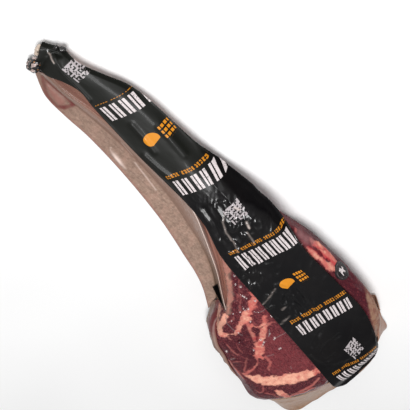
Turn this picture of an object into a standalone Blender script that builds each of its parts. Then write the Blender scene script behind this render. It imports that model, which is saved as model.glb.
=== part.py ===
"""A raw tomahawk steak in a shrunk vacuum bag with a black printed band.

The steak lies on its cut face. The bag runs along X, from the bone's tip to the meat, and the bone's
hollow side, with its flat web of clear film, faces -Y. Units are metres, +Z is up, and the table is z = 0.
"""

import math

import bmesh
import bpy
import numpy as np
from mathutils import Vector
from mathutils.bvhtree import BVHTree

# Rib bone: a flat bone, which lies almost flat at its tip and stands on edge where it meets the meat
RIB_CENTRE_LINE = [(-0.2350, 0.0405), (-0.2020, 0.0455), (-0.1640, 0.0510), (-0.1260, 0.0530),
                   (-0.0980, 0.0490), (-0.0730, 0.0430), (-0.0480, 0.0360), (-0.0230, 0.0270),
                   (0.0120, 0.0110), (0.0390, -0.0060), (0.0620, -0.0190), (0.0840, -0.0290)]
RIB_TILT_DEGREES = [10, 12, 14, 18, 28, 40, 54, 68, 82, 88, 90, 90]
RIB_WIDTH_TIP = 0.029
RIB_WIDTH_MEAT = 0.040
RIB_THICKNESS_TIP = 0.0105
RIB_THICKNESS_MEAT = 0.0130
RIB_FLOOR_GAP = 0.0010
RIB_SQUARENESS = 2.8
RIB_SECTIONS = 46
RIB_POINTS_ROUND = 18

# Meat: a thick slab with a tapering neck along the bone
MEAT_OUTLINE = [(-0.1040, 0.0620), (-0.0790, 0.0730), (-0.0510, 0.0790), (-0.0230, 0.0835),
                (0.0080, 0.0885), (0.0360, 0.0945), (0.0710, 0.0968), (0.1090, 0.0966), (0.1420, 0.0925),
                (0.1670, 0.0830), (0.1880, 0.0635), (0.2000, 0.0340), (0.2050, 0.0010),
                (0.2040, -0.0320), (0.1930, -0.0590), (0.1735, -0.0800), (0.1360, -0.0780),
                (0.0990, -0.0705), (0.0755, -0.0625), (0.0575, -0.0515), (0.0505, -0.0400),
                (0.0530, -0.0270), (0.0480, -0.0120), (0.0140, 0.0110), (-0.0230, 0.0290),
                (-0.0480, 0.0400), (-0.0730, 0.0500), (-0.0930, 0.0560)]
MEAT_CENTRE = (0.100, 0.015)
MEAT_THICKNESS = 0.044
MEAT_CROWN = 0.0015
MEAT_POINTS_ROUND = 84
MEAT_TOP_RINGS = (0.82, 0.62, 0.42, 0.22, 0.06)
MEAT_NECK_LENGTH = 0.085
MEAT_NECK_THICKNESS = 0.022
MEAT_PROFILE = [(0.0115, 0.0000), (0.0072, 0.1000), (0.0040, 0.2600), (0.0014, 0.4500), (0.0000, 0.6000),
                (0.0015, 0.7100), (0.0052, 0.8300), (0.0108, 0.9250), (0.0200, 1.0000)]
CHANNEL_GAP = 0.0010
CHANNEL_START = 0.30
CHANNEL_SECTIONS = 46
CHANNEL_OVERSHOOT = 0.02

# Clear film on the bone's hollow side: outer edge, the foot of the tent, and then up to the bone
WEB_OUTER_EDGE = [(-0.2360, 0.0210), (-0.2240, 0.0130), (-0.2020, 0.0090), (-0.1640, 0.0080),
                  (-0.1260, 0.0040), (-0.0890, -0.0020), (-0.0510, -0.0100), (-0.0140, -0.0210),
                  (0.0190, -0.0310), (0.0540, -0.0480)]
WEB_TENT_FOOT = [(-0.2350, 0.0235), (-0.2180, 0.0225), (-0.1900, 0.0235), (-0.1520, 0.0245),
                 (-0.1150, 0.0220), (-0.0800, 0.0180), (-0.0450, 0.0100), (-0.0100, 0.0000),
                 (0.0180, -0.0120), (0.0465, -0.0305)]
WEB_START = 0.01
WEB_END = 0.840
WEB_RISE_START = 0.35
WEB_RISE_END = 0.70
WEB_TIP_REACH = 0.42
WEB_TOP_REACH = 0.88
WEB_RIB_GAP = 0.0014
WEB_BULGE = 0.0022
PURGE_POCKET_CENTRE = (-0.203, 0.0165)
PURGE_POCKET_REACH = (0.022, 0.0065)
PURGE_POCKET_HEIGHT = 0.004

# Clear film past the meat: the skirt runs down from the meat to the bag's flat end, with two corner ears
HEM_INNER_EDGE = [(0.1570, 0.0898), (0.1685, 0.0840), (0.1800, 0.0742), (0.1903, 0.0633),
                  (0.1978, 0.0473), (0.2022, 0.0340), (0.2056, 0.0150), (0.2066, 0.0010),
                  (0.2067, -0.0150), (0.2058, -0.0320), (0.2023, -0.0480), (0.1953, -0.0618),
                  (0.1863, -0.0743), (0.1730, -0.0820), (0.1540, -0.0816), (0.1360, -0.0796)]
HEM_OUTER_EDGE = [(0.1600, 0.0870), (0.1735, 0.0800), (0.1880, 0.0765), (0.2066, 0.0716),
                  (0.2115, 0.0580), (0.2220, 0.0460), (0.2340, 0.0380), (0.2460, 0.0120),
                  (0.2500, -0.0150), (0.2495, -0.0360), (0.2515, -0.0598), (0.2520, -0.0809),
                  (0.2401, -0.0941), (0.2050, -0.0925), (0.1650, -0.0885), (0.1380, -0.0835)]
HEM_TOP = 0.031
HEM_END_TOP = 0.006
HEM_FADE = 3.0

# Printed band: a black film skin over the bone, the meat's top and the skirt
BAND_LEFT_EDGE = [(-0.2362, 0.0305), (-0.2270, 0.0332), (-0.2150, 0.0391), (-0.2010, 0.0425),
                  (-0.1851, 0.0400), (-0.1580, 0.0380), (-0.1275, 0.0370), (-0.0960, 0.0378),
                  (-0.0700, 0.0390), (-0.0470, 0.0380), (-0.0160, 0.0280), (0.0150, 0.0230),
                  (0.0490, 0.0190), (0.0850, 0.0140), (0.1430, 0.0060), (0.1960, -0.0020),
                  (0.2230, -0.0060), (0.2430, -0.0095)]
BAND_RIGHT_EDGE = [(-0.2365, 0.0450), (-0.2275, 0.0525), (-0.2120, 0.0600), (-0.1960, 0.0675),
                   (-0.1780, 0.0738), (-0.1550, 0.0778), (-0.1275, 0.0788), (-0.0960, 0.0800),
                   (-0.0700, 0.0830), (-0.0450, 0.0858), (-0.0140, 0.0885), (0.0150, 0.0880),
                   (0.0400, 0.0865), (0.0850, 0.0865), (0.1320, 0.0840), (0.1750, 0.0700),
                   (0.2040, 0.0520), (0.2260, 0.0400)]
BAND_THICKNESS = 0.0007
BAND_CLEARANCE = 0.0008
BAND_SIDE_HEIGHT = 0.0100
BAND_WRAP_END = 0.66
BAND_ROWS = 64
BAND_COLUMNS = 14
BAND_FEEL = 0.9

# Round dark sticker on the fat edge
STICKER_SPOT = (0.0830, 0.0940)
STICKER_RADIUS = 0.0100
STICKER_THICKNESS = 0.0005
STICKER_CLEARANCE = 0.0004

# Gathered end of the bag at the bone's tip: a crumpled roll of film
TAIL_PATH = [(-0.2425, 0.0250, 0.0080), (-0.2440, 0.0340, 0.0080), (-0.2440, 0.0440, 0.0080),
             (-0.2410, 0.0510, 0.0080), (-0.2350, 0.0555, 0.0080), (-0.2290, 0.0585, 0.0070)]
TAIL_RADII = [0.0062, 0.0062, 0.0056, 0.0046, 0.0038, 0.0024]
TAIL_PLEATS = 7
TAIL_PLEAT_DEPTH = 0.16

FILM_THICKNESS = 0.0008
FILM_FLOOR = 0.0


def hermite(start, end, slope_start, slope_end, t):
    """A cubic between two points with a slope at each."""
    first = (2 * t ** 3 - 3 * t ** 2 + 1) * start + (t ** 3 - 2 * t ** 2 + t) * slope_start
    second = (3 * t ** 2 - 2 * t ** 3) * end + (t ** 3 - t ** 2) * slope_end
    return first + second


class Curve:
    """A smooth curve through points of any dimension, read at a share of its length."""

    def __init__(self, points, closed=False):
        self.points = np.array(points, float)
        if self.points.ndim == 1:
            self.points = self.points[:, None]
        self.closed = closed
        if closed:
            self.points = np.vstack([self.points, self.points[:1]])
        steps = np.linalg.norm(np.diff(self.points, axis=0), axis=1)
        self.knots = np.concatenate([[0.0], np.cumsum(steps)])
        self.knots /= self.knots[-1]
        self.slopes = self.knot_slopes()

    def knot_slopes(self):
        points, knots = self.points, self.knots
        if self.closed:
            before = np.vstack([points[-2:-1], points[:-1]])
            after = np.vstack([points[1:], points[1:2]])
            gap_before = np.concatenate([[knots[-1] - knots[-2]], np.diff(knots)])
            gap_after = np.concatenate([np.diff(knots), [knots[1] - knots[0]]])
            return (after - before) / (gap_before + gap_after)[:, None]
        return np.gradient(points, knots, axis=0)

    def at(self, share):
        share = share % 1.0 if self.closed else min(max(share, 0.0), 1.0)
        k = min(int(np.searchsorted(self.knots, share, side="right")) - 1, len(self.knots) - 2)
        span = self.knots[k + 1] - self.knots[k]
        t = (share - self.knots[k]) / span
        return hermite(self.points[k], self.points[k + 1], span * self.slopes[k], span * self.slopes[k + 1], t)

    def direction(self, share):
        step = 0.002
        ahead = self.at(min(share + step, 1.0)) - self.at(max(share - step, 0.0))
        return ahead / np.linalg.norm(ahead)


def paired(points, share):
    """Read a list of paired points at a share counted in points, so that two lists stay in step."""
    place = min(max(share, 0.0), 1.0) * (len(points) - 1)
    k = min(int(place), len(points) - 2)
    t = place - k
    data = np.array(points, float)
    if data.ndim == 1:
        data = data[:, None]
    before = data[max(k - 1, 0)]
    after = data[min(k + 2, len(points) - 1)]
    slope_a = (data[k + 1] - before) / 2
    slope_b = (after - data[k]) / 2
    return hermite(data[k], data[k + 1], slope_a, slope_b, t)


def ease(value, low, high):
    """Rise smoothly from 0 at low to 1 at high."""
    t = min(max((value - low) / (high - low), 0.0), 1.0)
    return t * t * (3 - 2 * t)


def clear_scene():
    for item in list(bpy.data.objects):
        bpy.data.objects.remove(item, do_unlink=True)


def material(name, colour, roughness, coat=0.0):
    made = bpy.data.materials.new(name)
    made.use_nodes = True
    shader = made.node_tree.nodes["Principled BSDF"]
    shader.inputs["Base Color"].default_value = (*colour, 1.0)
    shader.inputs["Roughness"].default_value = roughness
    shader.inputs["Metallic"].default_value = 0.0
    shader.inputs["Coat Weight"].default_value = coat
    return made


def mesh_object(name, points, faces, finish):
    mesh = bpy.data.meshes.new(name)
    mesh.from_pydata([tuple(p) for p in points], [], faces)
    mesh.update()
    tidy = bmesh.new()
    tidy.from_mesh(mesh)
    bmesh.ops.recalc_face_normals(tidy, faces=tidy.faces)
    tidy.to_mesh(mesh)
    tidy.free()
    mesh.shade_smooth()
    mesh.set_sharp_from_angle(angle=math.radians(50))
    made = bpy.data.objects.new(name, mesh)
    made.data.materials.append(finish)
    bpy.context.scene.collection.objects.link(made)
    return made


def loft(name, sections, finish):
    """Join closed sections, each a list of points, with a flat cap at each end."""
    count = len(sections[0])
    points = [p for section in sections for p in section]
    faces = []
    for i in range(len(sections) - 1):
        for j in range(count):
            a = i * count + j
            b = i * count + (j + 1) % count
            faces.append((a, b, b + count, a + count))
    faces.append(tuple(range(count)))
    faces.append(tuple(range((len(sections) - 1) * count, len(sections) * count)))
    return mesh_object(name, points, faces, finish)


def sheet(name, grid, finish, thickness, along_normal):
    """Give a grid of points a thickness below it, square to it or straight down, and close its edges."""
    grid = np.array(grid, float)
    rows, columns = grid.shape[:2]
    down = np.zeros_like(grid)
    down[..., 2] = -1.0
    if along_normal:
        across = np.gradient(grid, axis=1)
        along = np.gradient(grid, axis=0)
        down = np.cross(across, along)
        down /= np.linalg.norm(down, axis=2)[..., None]
        down = np.where(down[..., 2:3] > 0, -down, down)
    below = grid + down * thickness
    below[..., 2] = np.maximum(below[..., 2], FILM_FLOOR)
    points = list(grid.reshape(-1, 3)) + list(below.reshape(-1, 3))
    total = rows * columns
    faces = []
    for i in range(rows - 1):
        for j in range(columns - 1):
            a = i * columns + j
            faces.append((a, a + 1, a + columns + 1, a + columns))
            faces.append((a + total, a + columns + total, a + columns + 1 + total, a + 1 + total))
    rim = [j for j in range(columns)]
    rim += [i * columns + columns - 1 for i in range(1, rows)]
    rim += [(rows - 1) * columns + j for j in range(columns - 2, -1, -1)]
    rim += [i * columns for i in range(rows - 2, 0, -1)]
    for k, a in enumerate(rim):
        b = rim[(k + 1) % len(rim)]
        faces.append((a, a + total, b + total, b))
    return mesh_object(name, points, faces, finish)


def rib_section_frame(share):
    """The rib's centre, its sideways direction, tilt, width and thickness at a share of its length."""
    line = Curve(RIB_CENTRE_LINE)
    centre = line.at(share)
    forward = line.direction(share)
    side = np.array([-forward[1], forward[0]])
    knots = line.knots
    tilt = math.radians(float(np.interp(share, knots, RIB_TILT_DEGREES)))
    grown = ease(share, 0.0, 0.55)
    width = RIB_WIDTH_TIP + (RIB_WIDTH_MEAT - RIB_WIDTH_TIP) * grown
    thickness = RIB_THICKNESS_TIP + (RIB_THICKNESS_MEAT - RIB_THICKNESS_TIP) * grown
    end = 0.55 + 0.45 * ease(share, 0.0, 0.035)
    end = min(end, 0.75 + 0.25 * ease(1.0 - share, 0.0, 0.02))
    half_height = 0.5 * (width * math.sin(tilt) + thickness * math.cos(tilt) ** 2)
    return centre, side, tilt, width * end, thickness * end, RIB_FLOOR_GAP + half_height


def rib_point(share, across, out, lift=0.0):
    """A point in the rib's section: across its flat width, and out from the face that looks up and to -Y."""
    centre, side, tilt, _, _, height = rib_section_frame(share)
    sideways = across * math.cos(tilt) - out * math.sin(tilt)
    up = across * math.sin(tilt) + out * math.cos(tilt)
    place = centre + side * sideways
    return np.array([place[0], place[1], height + up + lift])


def rib_bone(finish):
    sections = []
    for i in range(RIB_SECTIONS):
        share = i / (RIB_SECTIONS - 1)
        _, _, _, width, thickness, _ = rib_section_frame(share)
        ring = []
        for k in range(RIB_POINTS_ROUND):
            turn = 2 * math.pi * k / RIB_POINTS_ROUND
            c, s = math.cos(turn), math.sin(turn)
            across = width / 2 * math.copysign(abs(c) ** (2 / RIB_SQUARENESS), c)
            out = thickness / 2 * math.copysign(abs(s) ** (2 / RIB_SQUARENESS), s)
            ring.append(rib_point(share, across, out))
        sections.append(ring)
    return loft("rib_bone", sections, finish)


def rib_channel():
    """A cutter for the meat: the rib's own tilted section with a small gap, open above and below."""
    sections = []
    for i in range(CHANNEL_SECTIONS):
        share = CHANNEL_START + (1.0 - CHANNEL_START) * i / (CHANNEL_SECTIONS - 1)
        centre, side, tilt, width, thickness, height = rib_section_frame(share)
        if i == CHANNEL_SECTIONS - 1:
            centre = centre + Curve(RIB_CENTRE_LINE).direction(1.0) * CHANNEL_GAP
        lean = width / 2 * math.cos(tilt)
        half = (thickness / 2 + CHANNEL_GAP) / math.sin(tilt)
        foot = height - width / 2 * math.sin(tilt)
        head = height + width / 2 * math.sin(tilt)
        low, high = -CHANNEL_OVERSHOOT, MEAT_THICKNESS + CHANNEL_OVERSHOOT
        ring = []
        for sideways, up in ((-half - lean, low), (half - lean, low), (half - lean, foot),
                             (half + lean, head), (half + lean, high), (-half - lean, high)):
            place = centre + side * sideways
            ring.append(np.array([place[0], place[1], up]))
        sections.append(ring)
    cutter = loft("rib_channel_cutter", sections, None)
    cutter.hide_render = True
    cutter.display_type = "WIRE"
    return cutter


def meat_top(x):
    """The height of the meat's top, which falls along the neck."""
    start = MEAT_OUTLINE[0][0]
    share = ease(x, start, start + MEAT_NECK_LENGTH)
    return MEAT_NECK_THICKNESS + (MEAT_THICKNESS - MEAT_NECK_THICKNESS) * share


def meat(finish):
    outline = Curve(MEAT_OUTLINE, closed=True)
    centre = np.array(MEAT_CENTRE)
    edge = [outline.at(k / MEAT_POINTS_ROUND) for k in range(MEAT_POINTS_ROUND)]
    rings = []
    for inset, level in MEAT_PROFILE:
        ring = []
        for p in edge:
            reach = np.linalg.norm(p - centre)
            place = centre + (p - centre) * (1 - inset / reach)
            ring.append(np.array([place[0], place[1], meat_top(place[0]) * level]))
        rings.append(ring)
    last_inset = MEAT_PROFILE[-1][0]
    for share in MEAT_TOP_RINGS:
        ring = []
        for p in edge:
            reach = np.linalg.norm(p - centre)
            place = centre + (p - centre) * (1 - last_inset / reach) * share
            crown = MEAT_CROWN * (1 - share)
            ring.append(np.array([place[0], place[1], meat_top(place[0]) + crown]))
        rings.append(ring)
    return loft("meat", rings, finish)


def cut(target, cutter):
    """Take the cutter out of the target."""
    change = target.modifiers.new("channel", "BOOLEAN")
    change.operation = "DIFFERENCE"
    change.solver = "EXACT"
    change.object = cutter


def film_web(finish):
    outer = Curve(WEB_OUTER_EDGE)
    foot = Curve(WEB_TENT_FOOT)
    rows = 40
    grid = []
    for i in range(rows):
        share = i / (rows - 1)
        a = outer.at(share)
        b = foot.at(share)
        rib_share = WEB_START + (WEB_END - WEB_START) * share
        _, _, _, width, thickness, _ = rib_section_frame(rib_share)
        climb = ease(share, WEB_RISE_START, WEB_RISE_END)
        across = width * (climb * WEB_TOP_REACH - WEB_TIP_REACH)
        inside = 1 - abs(2 * min(across, 0.0) / width) ** RIB_SQUARENESS
        out = thickness / 2 * inside ** (1 / RIB_SQUARENESS) + FILM_THICKNESS + WEB_RIB_GAP
        top = rib_point(rib_share, across, out)
        row = []
        for t in (0.0, 0.33, 0.66, 1.0):
            place = a + (b - a) * t
            height = 0.0010 + 0.0014 * t
            dx = (place[0] - PURGE_POCKET_CENTRE[0]) / PURGE_POCKET_REACH[0]
            dy = (place[1] - PURGE_POCKET_CENTRE[1]) / PURGE_POCKET_REACH[1]
            height += PURGE_POCKET_HEIGHT * math.exp(-(dx * dx + dy * dy))
            row.append(np.array([place[0], place[1], height]))
        base = row[-1]
        for t in (0.2, 0.45, 0.7, 0.87, 1.0):
            bulge = WEB_BULGE * math.sin(math.pi * t) * (1 - 0.7 * climb)
            row.append(base + (top - base) * t + np.array([0, 0, bulge]))
        grid.append(row)
    return sheet("film_web", grid, finish, FILM_THICKNESS, True)


def film_end_hem(finish):
    rows = 70
    grid = []
    for i in range(rows):
        share = i / (rows - 1)
        inner = paired(HEM_INNER_EDGE, share)
        outer = paired(HEM_OUTER_EDGE, share)
        fade = ease(share * (len(HEM_INNER_EDGE) - 1), 0.0, HEM_FADE)
        fade *= ease((1 - share) * (len(HEM_INNER_EDGE) - 1), 0.0, HEM_FADE)
        top = HEM_END_TOP + (HEM_TOP - HEM_END_TOP) * fade
        row = []
        for t in (0.0, 0.15, 0.32, 0.5, 0.68, 0.84, 1.0):
            place = inner + (outer - inner) * t
            height = 0.0010 + (top - 0.0010) * (1 - t) ** 1.15
            row.append(np.array([place[0], place[1], height]))
        grid.append(row)
    return sheet("film_end_hem", grid, finish, FILM_THICKNESS, True)


def surface_tree(pieces):
    """One tree over the evaluated faces of some pieces, to lay a skin on them."""
    points, faces = [], []
    graph = bpy.context.evaluated_depsgraph_get()
    for piece in pieces:
        shape = piece.evaluated_get(graph).to_mesh()
        start = len(points)
        points += [piece.matrix_world @ v.co for v in shape.vertices]
        faces += [[start + k for k in face.vertices] for face in shape.polygons]
        piece.evaluated_get(graph).to_mesh_clear()
    return BVHTree.FromPolygons(points, faces)


def height_under(tree, x, y):
    hit = tree.ray_cast(Vector((x, y, 0.2)), Vector((0, 0, -1)))[0]
    return hit.z if hit else 0.0


def printed_band(finish, pieces):
    tree = surface_tree(pieces)
    plan = np.zeros((BAND_ROWS, BAND_COLUMNS, 2))
    for i in range(BAND_ROWS):
        share = i / (BAND_ROWS - 1)
        left = paired(BAND_LEFT_EDGE, share)
        right = paired(BAND_RIGHT_EDGE, share)
        for j in range(BAND_COLUMNS):
            plan[i, j] = left + (right - left) * (j / (BAND_COLUMNS - 1))
    low = np.zeros((BAND_ROWS, BAND_COLUMNS))
    for i in range(BAND_ROWS):
        for j in range(BAND_COLUMNS):
            around = []
            for p in np.linspace(-BAND_FEEL, BAND_FEEL, 7):
                for q in np.linspace(-BAND_FEEL, BAND_FEEL, 7):
                    u = min(max(i + p, 0), BAND_ROWS - 1)
                    v = min(max(j + q, 0), BAND_COLUMNS - 1)
                    iu, jv = min(int(u), BAND_ROWS - 2), min(int(v), BAND_COLUMNS - 2)
                    fu, fv = u - iu, v - jv
                    near = plan[iu, jv] * (1 - fu) * (1 - fv) + plan[iu + 1, jv] * fu * (1 - fv)
                    near = near + plan[iu, jv + 1] * (1 - fu) * fv + plan[iu + 1, jv + 1] * fu * fv
                    around.append(height_under(tree, near[0], near[1]))
            low[i, j] = max(around) + BAND_CLEARANCE + BAND_THICKNESS
    for i in range(BAND_ROWS):
        wrap = 1 - ease(i / (BAND_ROWS - 1), BAND_WRAP_END - 0.12, BAND_WRAP_END)
        if wrap > 0.0:
            low[i, -1] = max(low[i, -1], BAND_SIDE_HEIGHT)
    height = low.copy()
    for _ in range(60):
        pulled = height.copy()
        pulled[1:-1, :] = (height[:-2, :] + height[2:, :]) / 2
        pulled[:, 1:-1] = 0.5 * pulled[:, 1:-1] + 0.25 * (height[:, :-2] + height[:, 2:])
        height = np.maximum(low, pulled)
    grid = np.dstack([plan, height])
    return sheet("printed_band", grid, finish, BAND_THICKNESS, False)


def round_sticker(finish, meat_piece):
    tree = surface_tree([meat_piece])
    start = Vector((STICKER_SPOT[0], STICKER_SPOT[1], 0.2))
    spot, normal = tree.ray_cast(start, Vector((0, 0, -1)))[:2]
    first = normal.orthogonal().normalized()
    second = normal.cross(first)
    lower, upper = [], []
    for ring, radius in enumerate((0.0, 0.4, 0.75, 1.0)):
        count = 1 if ring == 0 else 24
        for k in range(count):
            turn = 2 * math.pi * k / 24
            flat = spot + (first * math.cos(turn) + second * math.sin(turn)) * STICKER_RADIUS * radius
            near = tree.find_nearest(flat)[0]
            rise = max(0.0, (near - flat).dot(normal))
            lower.append(flat + normal * (rise + STICKER_CLEARANCE))
            upper.append(flat + normal * (rise + STICKER_CLEARANCE + STICKER_THICKNESS))
    points = lower + upper
    total = len(lower)
    faces = []
    for k in range(24):
        after = (k + 1) % 24
        faces.append((0, 1 + after, 1 + k))
        faces.append((total, total + 1 + k, total + 1 + after))
        for ring in range(2):
            a, b = 1 + 24 * ring + k, 1 + 24 * ring + after
            faces.append((a, b, b + 24, a + 24))
            faces.append((a + total, a + 24 + total, b + 24 + total, b + total))
        a, b = 49 + k, 49 + after
        faces.append((a, b, b + total, a + total))
    return mesh_object("round_sticker", points, faces, finish)


def gathered_tail(finish):
    path = Curve(TAIL_PATH)
    sections = []
    rows = 30
    for i in range(rows):
        share = i / (rows - 1)
        centre = path.at(share)
        forward = path.direction(share)
        side = np.array([-forward[1], forward[0], 0.0])
        side /= np.linalg.norm(side)
        up = np.cross(forward, side)
        radius = float(np.interp(share, path.knots, TAIL_RADII))
        radius *= 0.35 + 0.65 * min(ease(share, 0.0, 0.10), ease(1 - share, 0.0, 0.08))
        ring = []
        for k in range(18):
            turn = 2 * math.pi * k / 18
            pleat = math.sin(TAIL_PLEATS * turn + 9.0 * share) * math.sin(23.0 * share + 2 * turn)
            reach = radius * (1 + TAIL_PLEAT_DEPTH * pleat)
            ring.append(centre + side * reach * math.cos(turn) + up * reach * math.sin(turn))
        sections.append(ring)
    lowest = min(p[2] for ring in sections for p in ring)
    for ring in sections:
        for p in ring:
            p[2] += -lowest
    return loft("gathered_tail", sections, finish)


def footprint_middle(pieces):
    """The point on the table under the middle of the whole part's box."""
    graph = bpy.context.evaluated_depsgraph_get()
    corners = []
    for piece in pieces:
        shape = piece.evaluated_get(graph).to_mesh()
        corners += [np.array(v.co) for v in shape.vertices]
        piece.evaluated_get(graph).to_mesh_clear()
    low = np.min(corners, axis=0)
    high = np.max(corners, axis=0)
    return Vector(((low[0] + high[0]) / 2, (low[1] + high[1]) / 2, low[2]))


def main():
    clear_scene()
    bone = material("bone", (0.41, 0.16, 0.14), 0.35, 0.6)
    flesh = material("meat", (0.16, 0.03, 0.035), 0.3, 0.8)
    clear_film = material("clear_film", (0.35, 0.25, 0.20), 0.25)
    black_film = material("black_film", (0.006, 0.006, 0.006), 0.25)
    label = material("sticker", (0.06, 0.05, 0.05), 0.5)

    rib = rib_bone(bone)
    slab = meat(flesh)
    cutter = rib_channel()
    cut(slab, cutter)
    web = film_web(clear_film)
    hem = film_end_hem(clear_film)
    tail = gathered_tail(black_film)
    bpy.context.view_layer.update()
    band = printed_band(black_film, [rib, slab, web, hem])
    sticker = round_sticker(label, slab)
    bpy.context.view_layer.update()

    pieces = [rib, slab, web, hem, tail, band, sticker]
    middle = footprint_middle(pieces)
    for piece in pieces + [cutter]:
        piece.location = piece.location - middle


main()
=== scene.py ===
"""A raw tomahawk steak in its shrunk vacuum bag, dressed around the fixed frame.

Lengths in the tables and functions are millimetres in the frame, unless a comment says metres: +X runs from
the bone's tip to the meat, +Y is the fat edge, +Z is up and the table is z = 0. Lines, spots and print were
read from the photograph, and much of the bag's outer edge from its silhouette, measured at every tenth row
of pixels. Small programs carried them onto the frame through the camera at the end of the tables, and
worked out the rows of the film web from the curves of the CAD. Colours were set against the photograph's
mean colour at single spots.
"""

import math

import bmesh
import bpy
import numpy as np
from mathutils import Matrix, Vector
from mathutils.bvhtree import BVHTree


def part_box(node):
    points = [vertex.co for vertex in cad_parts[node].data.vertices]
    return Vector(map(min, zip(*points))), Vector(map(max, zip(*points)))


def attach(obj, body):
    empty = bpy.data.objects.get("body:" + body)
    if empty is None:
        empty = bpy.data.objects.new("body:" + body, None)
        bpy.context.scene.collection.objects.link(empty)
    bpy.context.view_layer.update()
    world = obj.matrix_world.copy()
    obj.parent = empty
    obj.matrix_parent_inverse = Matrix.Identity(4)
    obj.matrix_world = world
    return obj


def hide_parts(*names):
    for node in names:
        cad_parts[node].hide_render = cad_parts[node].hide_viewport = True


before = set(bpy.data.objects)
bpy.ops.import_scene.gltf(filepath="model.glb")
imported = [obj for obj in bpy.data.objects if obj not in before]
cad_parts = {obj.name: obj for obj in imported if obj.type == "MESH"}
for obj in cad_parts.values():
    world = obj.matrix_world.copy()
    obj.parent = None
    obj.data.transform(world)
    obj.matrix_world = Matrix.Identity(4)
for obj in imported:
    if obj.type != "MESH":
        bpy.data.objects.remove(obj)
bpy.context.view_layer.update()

bl_info = {
    "name": "Vacuum-packed tomahawk steak",
    "version": (1, 0, 0),
    "blender": (4, 5, 0),
    "location": "3D View > Sidebar > Steak pack",
    "description": "Builds a raw tomahawk steak in its shrunk, printed bag",
    "category": "Add Mesh",
}

MM = 0.001
LEVEL = np.array([1, 1, 0])

# Heights above the table: the lowest film, the web's outer edge and the foot of its tent
LOWEST_FILM = 0.7
WEB_EDGE_HEIGHT = 1.2
WEB_FOOT_HEIGHT = 2.6

# Gaps of the films over what they lie on
BAND_GAP = 0.4
WEB_GAP = 0.9
SKIRT_GAP = 0.9
FACE_GAP = 0.55

# Rows and columns of the sheets of film, the column of the web's ridge, and the clear film's thickness
BAND_GRID = (510, 97)
WEB_ROWS = 320
FLAT_COLUMNS = 28
TENT_COLUMNS = 30
OVER_COLUMNS = 34
RIDGE_COLUMN = FLAT_COLUMNS + TENT_COLUMNS - 1
SKIRT_GRID = (220, 36)
FACE_GRID = (330, 140)
FACE_FILM_THICKNESS = 0.2
END_GRID = (260, 44)

# Edges of the printed band, in step from the bone's tip to the bag's end
BAND_LEFT = [
    (-240.5, 26.3), (-229.5, 29), (-217.8, 35.2), (-203, 39.3), (-187, 37.3), (-159.1, 35.2),
    (-128.6, 34.2), (-97.1, 35), (-71.1, 36.2), (-48.1, 35.2), (-17.1, 25.2), (13.9, 20.2), (47.9, 16.2),
    (83.9, 11.2), (141.9, 3.2), (194.9, -4.8), (220.5, -8.5), (239, -11.5),
]
BAND_RIGHT = [
    (-250, 45), (-236.5, 53), (-216.5, 56.8), (-198.5, 63.2), (-180.1, 70.3), (-156.1, 74.7),
    (-128.6, 75.6), (-97.1, 77.3), (-71.1, 80.6), (-46.1, 86), (-17.1, 89.4), (9, 88.2), (38.9, 85),
    (83.9, 83.9), (130.9, 81.3), (173.9, 67.3), (203.2, 50.8), (225.6, 38.5),
]

# Rows of the film web, in step: outer edge, foot of the tent, and the ridge along the bone's top
WEB_OUTER = [
    (-237.1, 18.2), (-216.8, 7.7), (-193.6, 5.5), (-170.4, 5.4), (-147.3, 3.6), (-124.3, 0.8),
    (-101.4, -2.8), (-78.6, -7), (-55.9, -11.9), (-33.6, -18.1), (-11.4, -24.9), (10.9, -31.4),
    (32.2, -40.3), (57, -55),
]
WEB_FOOT = [
    (-236.1, 20.7), (-213.7, 19.7), (-191.2, 20.7), (-168.8, 21.5), (-146.3, 21.4), (-123.9, 19.9),
    (-101.5, 17.8), (-79.2, 14.8), (-57.3, 10), (-35.5, 4.4), (-13.9, -1.8), (7, -10.1), (26.8, -20.7),
    (49.5, -37.5),
]
WEB_RIDGE = [
    (-231.5, 29.8, 12.4), (-209.5, 28.2, 12.9), (-188, 30.9, 13.2), (-167.2, 33.2, 13.6),
    (-146.2, 34.3, 14.2), (-127, 34.2, 15.6), (-107.2, 35.4, 20.2), (-85.4, 37.4, 27.4),
    (-63.1, 35.9, 35.6), (-42.1, 28.1, 40.4), (-20.8, 17.8, 41.2), (1, 6.6, 41.2), (24, -8, 41),
    (47, -21.5, 41),
]

# Where the film over the bone goes under the band or ends on the meat, in step with the ridge
OVER_BONE = [
    (-229.5, 34), (-210, 41.5), (-188, 41), (-167, 39), (-146, 38), (-127, 38.5), (-104, 40), (-80, 42.5),
    (-57, 41), (-35, 36), (-13.5, 28.5), (7, 14.3), (28, -1.5), (47, -17.5),
]

# The web's lens of lifted film and its glare, in points (x, y, half width), and thin hairs; the glare is
# raised, and the glare and the hairs get a painted highlight
WEB_LENS = [(-223, 17.5, 1.5), (-214, 15.2, 3.8), (-205, 14, 4.4)]
WEB_GLARE = [(-144.7, 10.4, 0), (-133, 8, 0.5), (-121, 5.9, 0)]
WEB_HAIRS = [[(-144.9, 25.7), (-128.6, 22)], [(-120.6, 17), (-104.8, 13.8), (-86.9, 10)]]

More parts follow.
